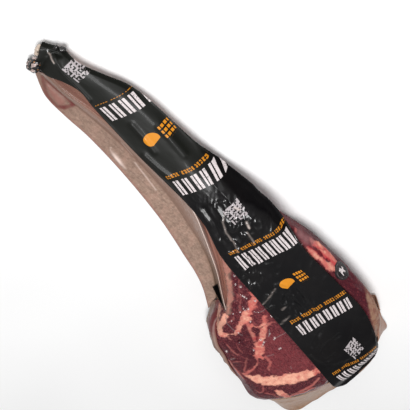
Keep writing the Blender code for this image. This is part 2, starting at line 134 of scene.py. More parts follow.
# Red juice under the web at the bone's tip: a loop and a line (x, y, half width), and spots (x, y, reach)
WEB_JUICE_LOOP = [
    (-229.5, 19.6, 0.3), (-219.8, 11.2, 0.5), (-215.1, 8.8, 0.5), (-204, 7.8, 0.3), (-199.5, 11.5, 0.9),
    (-197, 16, 0.4), (-196, 20.5, 0.8), (-199.1, 20, 0.6), (-208.1, 20.7, 0.4), (-218.6, 20.8, 0.8),
    (-225.4, 20.3, 0.6),
]
WEB_JUICE_LINE = [
    (-225.4, 31.4, 0.3), (-216.6, 33, 0.3), (-204.4, 33.7, 0.5), (-191.4, 33.9, 0.4), (-184.5, 36.1, 0.3),
]
WEB_JUICE_SPOTS = [(-197, 20.5, 4), (-190, 22.5, 3), (-199, 11, 3.5), (-183, 23, 2)]

# Edges of the film past the meat, in step, and its pink spots (x, y, reach)
HEM_INNER = [
    (152, 82), (164, 76.5), (176, 69), (189.2, 60.5), (196.7, 44.5), (201.1, 31.2), (204.5, 12.2),
    (205.5, -1.8), (205.6, -17.8), (204.7, -34.8), (201.2, -50.8), (194.2, -64.6), (185.2, -77.1),
    (171.9, -84.8), (152.9, -84.4), (134.9, -82.4),
]
HEM_OUTER = [
    (157.5, 86.8), (172, 80.6), (186.9, 74), (205.5, 68.8), (210.4, 55.2), (220.9, 43.2), (232.9, 35.2),
    (244.9, 9.2), (248.9, -17.8), (248.4, -38.8), (250.4, -62.6), (250.9, -83.7), (239, -96.9),
    (203.9, -95.3), (163.9, -91.3), (136.9, -86.3),
]
END_BLUSHES = [(219, -20, 9), (206, -30, 8)]

# Film down the meat's wall beside the bone, in step: at the top edge, half way down and on the table
SKIRT_TOP = [
    (44, -27, 20), (50, -32, 30), (52, -37, 34), (57, -43, 37), (63, -49, 38.7), (75.6, -57, 38.7),
    (90, -61, 40), (106.5, -69, 37.7), (124, -74, 36), (134, -77, 34),
]
SKIRT_MIDDLE = [
    (47.5, -34, 10), (51, -39.5, 16), (54, -45, 20), (58.5, -52, 22), (65, -58.8, 22), (78, -68.5, 22),
    (93, -74.5, 22), (110, -79, 20), (127, -83.5, 18), (136, -85, 14),
]
SKIRT_FOOT = [
    (51.5, -46.5, 1.2), (55.5, -51.5, 1.2), (59.5, -56.8, 1.2), (64, -63, 1.2), (69.5, -69, 1.2),
    (81, -75.5, 1.2), (96, -80.5, 1.2), (112, -84.5, 1.2), (128, -88, 1.2), (138, -90, 1.2),
]

# Fat seen on the cut face: creaminess from 0, pink, to 1, then points (x, y, half width)
FAT_LINES = [
    (0.3, [(-12.2, 23.7, 2.4), (-2.3, 19.4, 3.4), (7, 14, 2.6), (17.3, 6.6, 1.9), (27.2, -1.7, 2.1),
        (36.8, -10.8, 1.9), (43.9, -18, 1.7)]),
    (0.25, [(13.7, 21.2, 0.4), (24.5, 13.1, 0.4), (37.3, 3.1, 0.4), (49.8, -6.6, 0.7)]),
    (0.2, [(39.3, 15.1, 1), (45.8, 13.6, 3.2), (50, 8.5, 3.2), (53.2, 3.4, 3.6), (55, -0.9, 3.6)]),
    (0.45, [(57.4, -4.6, 4.8), (60.9, -8.4, 5.2), (62.9, -11.3, 4.2)]),
    (0.55, [(62.3, -13.2, 3.2), (64.5, -20, 2.4), (67.4, -25.8, 2.2), (69.5, -30.1, 1.9)]),
    (0.6, [(70.2, -30.7, 1.4), (67.5, -35.1, 1.9), (64.9, -37.9, 2.6), (63.5, -40.8, 3.4),
        (62.7, -44.3, 3.2)]),
    (0.55, [(67.8, -38.7, 1.2), (73.4, -40.6, 0.5)]),
    (0.85, [(44.5, -22, 1.6), (48.2, -29.4, 2.8), (53.1, -36.3, 3.2), (58.3, -41.8, 3.6)]),
    (0.4, [(70.1, -12.5, 2.2), (75.8, -10.7, 1.7), (78.2, -6.2, 2.3), (78.7, -1.7, 3.2), (75.1, 2.1, 2.2),
        (71.1, 6.6, 0.7)]),
    (0.35, [(81.2, 1.1, 1.6), (81.4, 5.8, 0.8), (85.4, 12.1, 0.6)]),
    (0.4, [(66, -11.8, 2), (75.2, -16, 2), (82.7, -18.3, 1.9), (89.6, -21.5, 1.8)]),
    (0.45, [(81.3, -2.8, 3), (86, -8.1, 2.7), (91.1, -13.1, 2.9), (94.5, -18.8, 3.2),
        (95.3, -23.2, 2.6)]),
    (0.35, [(98.9, -24.1, 4), (102.9, -28.7, 4.4), (108, -32.1, 4.6), (112.9, -33.6, 3.6)]),
    (0.3, [(110.4, -37, 1.4), (116.8, -42.8, 0.8), (120.8, -49.9, 0.7), (121.1, -53.6, 0.9),
        (122.1, -59.4, 1.6), (122.7, -62.9, 2.4)]),
    (0.3, [(113.8, -30.5, 1.8), (119.4, -30.1, 1.2), (123.9, -30.8, 0.9), (130.1, -36.7, 0.8),
        (133.5, -39.3, 0.5)]),
    (0.75, [(124.8, -63.3, 1.6), (130.8, -60.3, 3.6), (138.2, -56.7, 5.8), (146.3, -50.9, 7.4),
        (154.3, -39.7, 8.4), (160.8, -29.2, 8), (165.3, -18.8, 6.8), (168.2, -10.8, 5.6)]),
    (0.2, [(168.2, -10.8, 5), (169.1, -5.6, 4.6), (169.8, -0.1, 3.6)]),
    (0.55, [(163.6, -55.1, 1.8), (172.8, -54.5, 3.4), (182.9, -53.5, 3.4)]),
    (0.3, [(185.6, -46.7, 1.2), (187.1, -35.6, 2), (188.7, -22.8, 1.4)]),
    (0.6, [(98.2, -63.7, 0.8), (108.1, -66.5, 1.1), (119.7, -69, 1.3), (128.9, -70.2, 0.8)]),
    (0.3, [(76.7, -48.2, 0.7), (85.6, -49.5, 0.8), (94.7, -48.8, 0.6)]),
    (0.25, [(81.4, -38.6, 0.4), (88.6, -42.3, 0.6), (93.6, -43.4, 0.4)]),
    (0.3, [(104.6, -44.6, 0.4), (110.6, -51.4, 0.7), (117.8, -60, 0.9)]),
    (0.25, [(96.4, -59.6, 0.5), (96.9, -54.4, 0.7)]),
    (0.25, [(102.9, -62, 0.5), (102.7, -56.1, 0.8), (104.5, -52.7, 0.4)]),
    (0.3, [(151, -61.6, 0.8), (155.6, -66.7, 0.7), (156.4, -70.2, 0.8), (148.9, -71.1, 0.5)]),
    (0.3, [(159.3, -65.5, 0.6), (166.5, -60.5, 0.8), (178.3, -60.9, 0.5)]),
    (0.35, [(174.3, -53.5, 0.8), (183, -51.3, 0.7), (182.2, -37.5, 1.1), (183.6, -27.3, 1.7),
        (182.5, -18.4, 1.3), (179.8, -10, 1.1)]),
    (0.25, [(53.2, -26.1, 0.6), (53.2, -18.9, 0.5), (49.4, -14.9, 0.4)]),
    (0.25, [(30.9, 2.4, 0.4), (31.5, 5, 0.5), (36.8, -0.8, 0.4)]),
]

# Fat on the rounded edge: creaminess, then points (x, y, z, half width)
EDGE_FAT = [
    (0.4, [(37, 91, 31, 2.2), (46, 91.5, 30, 4.2), (56, 92.5, 30, 4.8), (66, 92.5, 31.5, 3.4),
        (73, 92, 33, 2)]),
    (0.4, [(30, 85.5, 38, 1), (46, 86.5, 38.3, 2.2), (60, 87.5, 38, 2.8), (72, 88, 37, 3),
        (84, 88, 37, 1.4)]),
    (0.2, [(17, 87, 30, 1.6), (21, 88, 36, 1.6), (30, 87.5, 37, 0.8)]),
]

# Lean colour on the cut face: tone from 0, dark, to 1, pale, then points (x, y, reach)
LEAN_TONES = [
    (0.25, [(11.6, 17.2, 2.8), (26, 6.6, 3.3), (38.4, -4.1, 3.3), (53.1, -18.1, 3.8),
        (60.9, -24.9, 2.8)]),
    (0.1, [(24, 17.8, 2.8), (36.4, 10.4, 3.8), (45.4, 2.7, 2.8)]),
    (0.12, [(59.5, -31.6, 2.8)]),
    (0.5, [(57.4, 11.9, 2.8), (64.7, 1.9, 3.8), (71.3, -4.2, 3.8)]),
    (0.55, [(73.6, 10.6, 3.8)]),
    (0.02, [(73.3, -24.5, 2.8), (83.9, -38.3, 7.5), (89.4, -52, 7.5), (105.2, -53.3, 7.5),
        (85.2, -33.1, 5.6), (97.4, -35.3, 3.8), (113.2, -48.6, 4.7)]),
    (0.2, [(71, -19, 2.8)]),
    (0.1, [(81.5, -13, 1.9)]),
    (0.45, [(122, -38.9, 3.8), (128.4, -52.4, 4.7), (130.4, -47.5, 3.8)]),
    (0.75, [(104, -12.4, 7.5), (122.6, -15.5, 9.4), (137.3, -15.4, 9.4), (132.5, -27.4, 7.5),
        (145.1, -13.6, 7.5), (153.5, -4.3, 7.5)]),
    (0.02, [(146.7, -63.5, 3.8), (159.6, -60.8, 3.8), (143.7, -71, 2.8), (154.3, -74, 4.7),
        (163.1, -68.7, 4.7), (175.2, -45.2, 4.7), (179.2, -32, 4.7), (176.3, -13.8, 4.7)]),
    (0.25, [(166.2, -71.2, 2.8), (177.3, -63.4, 2.8)]),
]

# Lean colour on the rounded edge: tone, then points (x, y, z, reach)
EDGE_TONES = [
    (0.1, [(6, 86, 24, 9), (20, 88, 20, 9), (38, 92, 16, 9), (60, 92, 14, 8)]),
    (0.12, [(86, 92, 36, 8), (105, 90, 36, 9), (124, 88, 36, 9), (141, 84, 36, 8)]),
    (0.05, [(86, 94, 24, 8), (105, 93, 24, 9), (122, 90, 26, 8)]),
]

# Folds of the band that catch the light, and soft hollows beside them
BAND_GLINTS = [
    [(-42.9, 52.3), (-36.4, 48), (-29.5, 45), (-22.8, 44.4)],
    [(-17.5, 44.3), (-13, 42.8), (-8.3, 40.3)],
    [(-22, 56.5), (-19.6, 54.9)],
    [(-20, 57.7), (-11.8, 58.2), (-2.9, 56.1)],
    [(-59.1, 57.4), (-55.7, 54.9)],
    [(-36.3, 55.5), (-30.7, 51.2)],
    [(-57.6, 60.7), (-55.5, 64.6)],
    [(-37.2, 62.5), (-31.1, 59.5), (-28.5, 52.6)],
    [(-27.3, 66.9), (-24, 65.7), (-21.2, 63.9)],
    [(-27.8, 65.2), (-24.6, 64.2), (-22, 62.2)],
    [(72.9, 26.9), (71.6, 32.2)],
    [(49.6, 32.2), (56.6, 22.1), (59.9, 16.5), (61, 9.9)],
    [(48.2, 26.6), (50.6, 21.6)],
    [(87, 14.2), (84.9, 20.7)],
    [(17, 24.1), (16.7, 25.6)],
    [(31.7, 31.7), (29, 37)],
    [(47, 38.4), (50.3, 35.5)],
    [(48.6, 31.8), (55.8, 22.6)],
    [(50.9, 23.9), (52.3, 19.7)],
    [(90.9, 25), (88.6, 30.4)],
    [(101.9, 12.7), (94.5, 20.9)],
    [(26.5, 23.3), (31.6, 21.5)],
    [(-242.1, 43.8), (-237.8, 43.2), (-232.9, 42.7)],
]
BAND_HOLLOWS = [
    [(11.7, 43), (20.3, 38.2), (30, 30)],
    [(3.8, 41.3), (12.3, 36.5), (22, 27)],
    [(59.6, 41.1), (71.5, 38.9), (84.8, 41.4)],
    [(62.4, 36.5), (74.3, 34.3), (88.7, 35.9)],
    [(115.2, 14.8), (108.3, 23.8)],
    [(-60, 46), (-45, 44), (-30, 38)],
    [(132, 16), (124, 28), (120, 40)],
    [(146, 18), (140, 30), (138, 46)],
    [(160, 14), (158, 26)],
    [(186, 18), (176, 30), (172, 44)],
    [(206, 14), (204, 30)],
]

# Soft folds of the band along the bone, and its sharper crease at the bone's tip
BAND_FOLDS = [
    [(-139, 66), (-126, 66), (-106, 65)],
    [(-155, 51), (-137, 50), (-125, 48)],
    [(-128, 39), (-111, 40), (-100, 42)],
    [(-131, 77), (-114, 76), (-100, 76)],
]
BAND_TIP_CREASE = [(-237.5, 45.6), (-225, 43.2), (-209.5, 42), (-193, 40.5)]

# Painted highlights on folds of the band, in a milky colour: strength, then points (x, y, width)
BAND_MILKY = [
    (0.95, [(-241.5, 44, 0.1), (-237.8, 43.2, 0.7), (-233.5, 42.6, 0.1)]),
    (0.8, [(-29.6, 67.6, 0.8), (-23.1, 65.2, 0.9)]),
    (0.75, [(-46.5, 68.7, 0.6), (-42.3, 70.3, 0.8)]),
    (0.35, [(-46.7, 57.1, 0.1), (-42.3, 51.4, 0.3), (-32.3, 46.5, 0.3), (-19.3, 44.4, 0.4),
        (-9.6, 40.6, 0.1)]),
    (0.45, [(-20.4, 60.6, 0.1), (-7.8, 58.3, 0.3)]),
    (0.3, [(47.2, 37.8, 0.1), (52, 26, 0.3), (55.4, 15.9, 0.1)]),
    (0.55, [(73, 25.1, 0.2), (72.2, 30.5, 0.4)]),
    (0.3, [(86.5, 12.7, 0.1), (84.2, 25.8, 0.3)]),
]

# Sharp little folds of the clear film over the cut face
FILM_CREASES = [
    [(10.5, 18.8), (11.6, 18)],
    [(19.4, 12.7), (20.9, 11.5)],
    [(23.2, 14.1), (26.6, 14)],
    [(33.6, 6.8), (37.4, 7.6), (41, 8.7)],
    [(45, 14), (48.3, 12.7)],
    [(31, 18.8), (32.6, 17.7)],
    [(47.9, -2.5), (51.8, -2.7), (52.3, 1.4)],
    [(61.2, 15.1), (63, 11.1), (62.3, 5.3), (58.8, 2.4)],
    [(65.7, -8.3), (67.1, -8.8)],
    [(73.4, 11.4), (75.1, 11.3)],
    [(44.1, -20.8), (52.4, -27), (60.8, -28.1), (69, -28.6)],
    [(90.4, -16.5), (92.6, -16.7)],
    [(96.6, -14.1), (98.3, -18.7), (99.6, -21.7)],
    [(86.5, -1.3), (91.3, -4.8), (93.6, -8.5)],
    [(100, -6), (99.3, -3.5)],
    [(83.1, -55), (86.2, -56.1)],
    [(98.1, -31.2), (99.7, -32.1)],
    [(114.7, -12.4), (115.4, -9)],
    [(114.4, -27.1), (117.2, -20.7)],
    [(100, 8.6), (99.9, -2.8)],
    [(75.9, -26.7), (71.6, -27.7)],
    [(96, -59.4), (96.1, -54.5)],
    [(142.7, -18.9), (146.3, -20.4)],
]

# Points of the clear film over the cut face, raised a little and given a painted white highlight: (x, y,
# reach)
FILM_GLINTS = [
    (11.6, 18.3, 0.6), (20, 12.2, 0.5), (25.4, 13.8, 0.7), (35.5, 7.6, 0.4), (37.8, 8, 0.5),
    (40.4, 8.4, 0.4), (47.6, 12.9, 0.8), (48.5, -2.3, 0.4), (51.2, -3, 0.4), (52.2, 1, 0.6),
    (50.3, -7.9, 0.5), (66.1, -8.3, 0.5), (91.9, -16.7, 0.7), (96.5, -16.4, 0.5), (98.4, -19.1, 0.5),
    (100.1, -22, 0.4), (99.3, -4.6, 0.6), (100.5, -6.7, 0.4), (84.1, -55.1, 0.7), (74, 11.8, 0.5),
    (91.1, -4.4, 0.5), (92.6, -6.6, 0.3), (47.7, -14.6, 0.4), (53.8, -21.9, 0.4), (98.8, -31.6, 0.5),
    (70.2, -27.4, 0.4), (32, 18.5, 0.5), (114.4, -11.1, 0.4), (114.5, -9.4, 0.4),
]

# Edges of the clear film over the cut face, in step: under the band, and round the meat's far edge
FACE_NEAR = [
    (-14, 27), (2, 24), (18, 22), (34, 20), (50, 18), (66, 16), (84, 14), (102, 11.5), (120, 9),
    (138, 6.5), (156, 4), (172, 1.5), (186, -1), (197, -3),
]
FACE_FAR = [
    (-14, 22.5), (3, 11.5), (22, -1.5), (40, -17.5), (43.5, -27), (52, -38.5), (66, -49.5), (98.5, -63.5),
    (127, -71.5), (156, -77), (179, -65.5), (188.5, -50), (190, -28), (196, -8),
]

# Outline of the meat that covers the bone's inner end, and the heights that it lies between
MEAT_OVER_BONE = [
    (-15.5, 25.5), (-4.9, 18.5), (5.6, 11.7), (16.2, 4.7), (26.1, -3.7), (36.1, -12.4), (42.5, -19.5),
    (42.5, -25), (46.2, -30.6), (52, -38), (62, -46), (76, -38), (92, -22), (60, 6), (30, 26), (0, 34),
]
MEAT_OVER_BONE_HEIGHTS = (3.0, 43.8)

# Y between which the meat's rounded edge and its cap of fat start
MEAT_EDGE = (72, 80)
MEAT_CAP = (78, 88)

# Places with a middle and a reach along each axis, and how far the meat's corner is moved
MEAT_CORNER = ((166, -82, 26), (26, 14, 16))
MEAT_CORNER_SHIFT = (1, -7, 0)
MEAT_SHOULDER = ((53, -35), (9, 8))
BAND_CRUMPLE = ((-40, 64), (26, 20))
BAND_WRINKLES = ((-40, 62), (30, 24))
FACE_FOLDS = ((42, 0), (34, 26))

# Brown flap on the rounded edge: a point of its slanting line, the line's slope, and x where it starts
COLLAR_POINT = (126, 88.6)
COLLAR_SLOPE = -0.45
COLLAR_START = (117, 128)

# Pleats of the band over the meat: y and height at the given x, and their slope
PLEATS = [(43, 1.3), (48, -1.0), (53, 1.1)]
PLEAT_X = 78
PLEAT_SLOPE = -0.12

# Black print in the notch: x where its triangle starts, y and slope of its sides, and its lean with height
NOTCH_START = 36
NOTCH_NEAR_SIDE = (-31, -0.384)
NOTCH_FAR_SIDE = (-23.76, -0.596)
NOTCH_LEAN = (0.6745, -0.5945)

# Red and purple spots on the meat: (x, y, z, reach)
RED_SPOTS = [
    (10, 85, 22, 9), (24, 88, 17, 7), (92, 93, 20, 7), (108, 92, 22, 8), (120, 90, 24, 7),
    (96.1, -20.1, 44, 3.4), (88, -19.4, 44, 2.6), (90.7, -12.3, 44, 1.6), (52, 92, 27, 2.2),
    (60, -4, 44, 1.8),
]
PURPLE_SPOTS = [(24, 88, 31, 6), (30, 89, 32, 6), (36, 90, 30, 5)]

# Thin red lines in the fat of the rounded edge and on the bone's tip: points (x, y, z, half width)
RED_LINES = [
    [(30, 86, 37, 0.6), (50, 89.5, 34.8, 0.5), (60, 90.5, 34, 0.6), (72, 91, 33.5, 1)],
    [(44, 88.5, 36, 0.2), (58, 89.5, 36, 0.3)],
    [(40, 90, 33, 0.2), (50, 92, 31.5, 0.3), (56, 92.6, 27, 0.3)],
]
BONE_RED_EDGE = [(-228, 22, 9, 1.2), (-212, 24, 10, 1), (-200, 26, 11, 1.2), (-186, 30, 13, 0.6)]
BONE_RED_LINE = [(-222, 33, 14, 0.3), (-205, 33, 15, 0.4), (-185, 33, 15, 0.3)]

# Printed words: where each starts, its slant, its first bar's place across, and the bars' pitch
WORD_STARTS = [
    (-253, 0.4, 42, 8.2), (-182.8, 0.31, 40.1, 8.2), (-95.4, 0.33, 39.8, 8), (-6.6, 0.2, 33.1, 6.9),
    (98.8, 0.06, 21, 7.8), (187.5, -0.03, 6, 7), (275, 0, 6, 7),
]

# Printed squares (kind 1) and plain shapes (kind 2): centre, side along and side across
PATCHES = [
    (1, (-217.4, 50.9), (16.7, 1), (0.6, 13.2)),
    (1, (-41.8, 66.1), (15.9, 0.2), (-1.2, 17.2)),
    (1, (164, 45.4), (19, 0.5), (-8, 17)),
    (2, (-134.8, 54.5), (15, 0), (3, 16)),
    (2, (50.1, 49.6), (15, 0), (2, 16)),
]

# Rolls of crumpled film at the bone's tip: name, path, radii along it, seed of its dents, and its paleness
TAIL_ROLLS = [
    ("tail_knot", [(-238, 20, 6), (-242, 26, 7.5), (-245, 31.5, 8.5)], [4.4, 5.8, 4.4], 71, 0),
    ("tail_curl", [(-246, 34, 9.5), (-248.6, 38.5, 9.5), (-250, 43, 8.5)], [2.4, 2.4, 1.6], 75, 1),
    ("tail_nub_left", [(-239.4, 48, 9), (-240.2, 51, 10), (-241, 53, 10)], [2, 1.4, 0.6], 79, -1),
    ("tail_nub_right", [(-236.2, 49.8, 9), (-235.4, 53, 9.5), (-232.4, 54.4, 9)], [2.3, 2.5, 2], 83, -1),
]
ROLL_GRID = (70, 44)

# Round sticker: rings and points round each, radius, thickness and gap over the meat
LABEL_RINGS = 16
LABEL_POINTS = 72
LABEL_RADIUS = 10.0
LABEL_THICKNESS = 0.5
LABEL_GAP = 0.75
LABEL_RIM_GAP = 0.45

# Table in metres, and lights: name, place and size in metres, and power in watts
TABLE_HALF = 4.0
TABLE_DROP = 0.0003
LIGHTS = [("overhead", (-0.25, 0.20, 1.30), 0.55, 17.0), ("side_fill", (-1.10, 1.00, 0.90), 1.2, 7.5)]
ROOM_LIGHT = 0.2

# Camera: heading, rise and angle of view in degrees, and distance and target in metres
CAMERA_HEADING = 47.7
CAMERA_RISE = 55.0
CAMERA_ANGLE = 34.0
CAMERA_DISTANCE = 0.6298
CAMERA_TARGET = (-0.04294, 0.03101, 0.0)


# Numbers on surfaces


def smooth_rows(points, count):
    """Points along a smooth line that stays in step with the given points."""
    data = np.array(points, float)
    slopes = np.gradient(data, axis=0)
    place = np.linspace(0, len(data) - 1, count)
    k = np.minimum(place.astype(int), len(data) - 2)
    t = (place - k)[:, None]
    start = (2 * t ** 3 - 3 * t ** 2 + 1) * data[k] + (t ** 3 - 2 * t ** 2 + t) * slopes[k]
    return start + (3 * t ** 2 - 2 * t ** 3) * data[k + 1] + (t ** 3 - t ** 2) * slopes[k + 1]


def strip(first, second, shares):
    """Rows of points that lie between two lines, at the given shares of the way."""
    shares = shares[None, :, None]
    return first[:, None] * (1 - shares) + second[:, None] * shares


def ease(value, low, high):
    """Rise smoothly from 0 at low to 1 at high."""
    t = np.clip((np.asarray(value, float) - low) / (high - low), 0, 1)
    return t * t * (3 - 2 * t)


def bell(away, width):
    """1 at no distance, falling to 0 past the width."""
    return np.exp(-(away / width) ** 2)


def hump(points, middle, reach):
    """1 at the middle, falling to 0 past its reach along each axis."""
    return np.exp(-(((points[:, :len(middle)] - np.array(middle)) / np.array(reach)) ** 2).sum(axis=1))


def patchy(points, size, seed):
    """Smooth noise from -1 to 1 whose patches are about the given size."""
    spots = np.asarray(points, float) / size + seed * 17.31
    cell = np.floor(spots).astype(np.int64)
    t = spots - cell
    t = t * t * (3 - 2 * t)
    total = np.zeros(len(spots))
    for corner in range(8):
        pick = np.array([(corner >> k) & 1 for k in range(3)])
        near = cell + pick
        code = (near[:, 0] * 374761393 + near[:, 1] * 668265263 + near[:, 2] * 1440662683 + seed * 144665)
        code = code & 0xFFFFFFFF
        code = ((code ^ (code >> 13)) * 1274126177) & 0xFFFFFFFF
        value = ((code ^ (code >> 16)) & 0xFFFF) / 32767.5 - 1
        total += value * np.prod(np.where(pick == 1, t, 1 - t), axis=1)
    return total


def rough(points, size, seed, octaves=3):
    """Noise from about -1 to 1 with finer patches on the coarse ones."""
    total = sum(patchy(points, size / 2 ** k, seed + k) / 2 ** k for k in range(octaves))
    return total / (2 - 2 / 2 ** octaves)


def creases(points, size, seed):
    """Noise from 0 to 1 that peaks along thin wandering lines."""
    return (1 - np.abs(patchy(points, size, seed)) * 2).clip(0, 1) ** 2


def stretched(points, along, across):
    """Points scaled so that noise on them runs along X."""
    return points * np.array([1 / along, 1 / across, 1 / across])


def line_distance(points, line):
    """Distance from a line of (x, y, half width) or (x, y, z, half width), less the half width."""
    best = np.full(len(points), 1e9)
    line = np.array(line, float)
    points = points[:, :line.shape[1] - 1]
    for a, b in zip(line[:-1], line[1:]):
        step = b[:-1] - a[:-1]
        t = np.clip((points - a[:-1]) @ step / max(step @ step, 1e-9), 0, 1)
        away = np.linalg.norm(points - (a[:-1] + t[:, None] * step), axis=1)
        best = np.minimum(best, away - (a[-1] + (b[-1] - a[-1]) * t))
    if len(line) == 1:
        best = np.linalg.norm(points - line[0, :-1], axis=1) - line[0, -1]
    return best


def line_bell(points, line, width):
    """1 on a thin line of (x, y), falling to 0 past the width."""
    return bell(line_distance(points, [(x, y, 0) for x, y in line]), width)


def spots_strength(points, spots):
    """1 at the middle of any round spot, (x, y, reach) or (x, y, z, reach), falling to 0 past its reach."""
    best = np.zeros(len(points))
    for *middle, reach in spots:
        away = np.linalg.norm(points[:, :len(middle)] - np.array(middle), axis=1)
        best = np.maximum(best, bell(away, reach))
    return best


def blur(field, passes):
    """Average each value of a grid with its neighbours."""
    border = [(1, 1), (1, 1), (0, 0)][:field.ndim]
    for _ in range(passes):
        wide = np.pad(field, border, mode="edge")
        field = (wide[:-2, 1:-1] + wide[2:, 1:-1] + wide[1:-1, :-2] + wide[1:-1, 2:] + 4 * field) / 8
    return field


# Meshes


class Surface:
    """Faces of one or more objects that points can be dropped or pulled onto, in millimetres."""

    def __init__(self, *pieces):
        points, faces = [], []
        for piece in pieces:
            start = len(points)
            points += [v.co / MM for v in piece.data.vertices]
            faces += [[start + k for k in face.vertices] for face in piece.data.polygons]
        self.tree = BVHTree.FromPolygons(points, faces)

    def heights(self, plan, missing=0.0):
        """The height of the highest face over each (x, y), carried on along a row where there is none."""
        found = np.full(plan.shape[:-1], np.nan)
        for index in np.ndindex(*found.shape):
            hit = self.tree.ray_cast(Vector((*plan[index], 200.0)), Vector((0, 0, -1)))[0]
            if hit:
                found[index] = hit.z
        for row in found:
            known = np.flatnonzero(~np.isnan(row))
            row[:] = np.interp(np.arange(len(row)), known, row[known]) if len(known) else missing
        return found

    def pull(self, points, clearance):
        """Move points to a clearance outside the nearest face, where they are nearer than that."""
        moved = np.array(points, float)
        for k, p in enumerate(points):
            near, normal, _, _ = self.tree.find_nearest(Vector(p))
            out = (Vector(p) - near).dot(normal)
            if out < clearance:
                moved[k] = np.array(Vector(p) + normal * (clearance - out))
        return moved


def cad(name):
    """The fixed solid of a node."""
    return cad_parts[name]


def new_piece(name, points, faces, material, slot, *nodes):
    """A smooth mesh from points in millimetres, riding on the root and standing for CAD nodes."""
    mesh = bpy.data.meshes.new(name)
    mesh.from_pydata((np.asarray(points) * MM).tolist(), [], faces)
    mesh.update()
    tidy = bmesh.new()
    tidy.from_mesh(mesh)
    bmesh.ops.recalc_face_normals(tidy, faces=tidy.faces)
    tidy.to_mesh(mesh)
    tidy.free()
    mesh.shade_smooth()
    mesh.materials.append(material)
    piece = bpy.data.objects.new(name, mesh)
    bpy.context.scene.collection.objects.link(piece)
    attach(piece, "root")
    if nodes:
        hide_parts(*nodes)
    return piece


def store(piece, **fields):
    """Keep fields for the material to read: numbers, or vectors where a name ends in _place.

    One value stands for all vertices, and a sheet's underside repeats what its top has.
    """
    count = len(piece.data.vertices)
    for name, values in fields.items():
        vector = name.endswith("_place")
        layer = piece.data.attributes.new(name, "FLOAT_VECTOR" if vector else "FLOAT", "POINT")
        flat = np.resize(np.asarray(values, float), count * (3 if vector else 1))
        layer.data.foreach_set("vector" if vector else "value", flat)


def grid_normals(grid):
    """The upward direction at each point of a grid."""
    up = np.cross(np.gradient(grid, axis=1), np.gradient(grid, axis=0))
    up /= np.linalg.norm(up, axis=2)[..., None] + 1e-9
    return up if up[..., 2].mean() > 0 else -up


def even_columns(grid, columns):
    """The grid with its columns spread evenly along each row."""
    result = np.empty((len(grid), columns, 3))
    for i, row in enumerate(grid):
        length = np.concatenate([[0], np.cumsum(np.linalg.norm(np.diff(row, axis=0), axis=1))])
        for k in range(3):
            result[i, :, k] = np.interp(np.linspace(0, length[-1], columns), length, row[:, k])
    return result


def more_rows(grid, rows):
    """The grid with more rows, smoothly between its own."""
    flat = smooth_rows(grid.reshape(len(grid), -1), rows)
    return flat.reshape(rows, *grid.shape[1:])


def film_sheet(name, grid, thickness, material, slot, *nodes):
    """A thin closed sheet with the grid as its top. Vertex k of the top has its twin below at k + count."""
    rows, columns = grid.shape[:2]
    below = grid - grid_normals(grid) * thickness
    points = np.vstack([grid.reshape(-1, 3), below.reshape(-1, 3)])
    total = rows * columns
    index = np.arange(total).reshape(rows, columns)
    a, b = index[:-1, :-1].ravel(), index[:-1, 1:].ravel()
    c, d = index[1:, 1:].ravel(), index[1:, :-1].ravel()
    faces = np.stack([a, b, c, d], axis=1).tolist()
    faces += np.stack([a + total, d + total, c + total, b + total], axis=1).tolist()
    rim = list(index[0]) + list(index[1:, -1]) + list(index[-1, -2::-1]) + list(index[-2:0:-1, 0])
    rim = [int(k) for k in rim]
    faces += [(p, p + total, q + total, q) for p, q in zip(rim, rim[1:] + rim[:1])]
    return new_piece(name, points, faces, material, slot, *nodes)


def tube_faces(rings, count):
    """Faces between rings of points."""
    index = np.arange(rings * count).reshape(rings, count)
    ahead = np.roll(index, -1, axis=1)
    faces = np.stack([index[:-1], ahead[:-1], ahead[1:], index[1:]], axis=-1)
    return faces.reshape(-1, 4).tolist()


def remeshed(name, sources, voxel, material, slot, *nodes):
    """One even mesh over the joined outside of CAD nodes and filler solids."""
    joined = bmesh.new()
    for source in sources:
        joined.from_mesh(source)
    mesh = bpy.data.meshes.new(name)
    joined.to_mesh(mesh)
    joined.free()
    maker = bpy.data.objects.new(name + "_maker", mesh)
    bpy.context.scene.collection.objects.link(maker)
    even = maker.modifiers.new("even", "REMESH")
    even.mode = "VOXEL"
    even.voxel_size = voxel * MM
    soft = maker.modifiers.new("soft", "SMOOTH")
    soft.factor = 0.5
    soft.iterations = 3
    finished = maker.evaluated_get(bpy.context.evaluated_depsgraph_get())
    result = finished.to_mesh()
    points = vertices(result)
    faces = [list(face.vertices) for face in result.polygons]
    finished.to_mesh_clear()
    bpy.data.objects.remove(maker)
    return new_piece(name, points, faces, material, slot, *nodes)


def vertices(mesh):
    """Places of a mesh's vertices, in millimetres."""
    points = np.empty(len(mesh.vertices) * 3)
    mesh.vertices.foreach_get("co", points)
    return points.reshape(-1, 3) / MM


def normals(piece):
    """Outward directions at a piece's vertices."""
    directions = np.empty(len(piece.data.vertices) * 3)
    piece.data.vertex_normals.foreach_get("vector", directions)
    return directions.reshape(-1, 3)


def move_vertices(piece, points):
    """Put a piece's vertices at new places, in millimetres."""
    piece.data.vertices.foreach_set("co", (np.asarray(points) * MM).ravel())
    piece.data.update()


def prism_mesh(outline, low, high):
    """A solid with the given outline in plan, for joining to another before a remesh."""
    made = bmesh.new()
    face = made.faces.new([made.verts.new((x * MM, y * MM, low * MM)) for x, y in outline])
    grown = bmesh.ops.extrude_face_region(made, geom=[face])["geom"]
    rise = [item for item in grown if isinstance(item, bmesh.types.BMVert)]
    bmesh.ops.translate(made, vec=(0, 0, (high - low) * MM), verts=rise)
    bmesh.ops.recalc_face_normals(made, faces=made.faces)
    mesh = bpy.data.meshes.new("filler")
    made.to_mesh(mesh)
    made.free()
    return mesh


# Materials


def maths(operation):
    """A method that joins a socket to a maths node."""
    return lambda self, *others: self.maths_node(operation, self, *others)


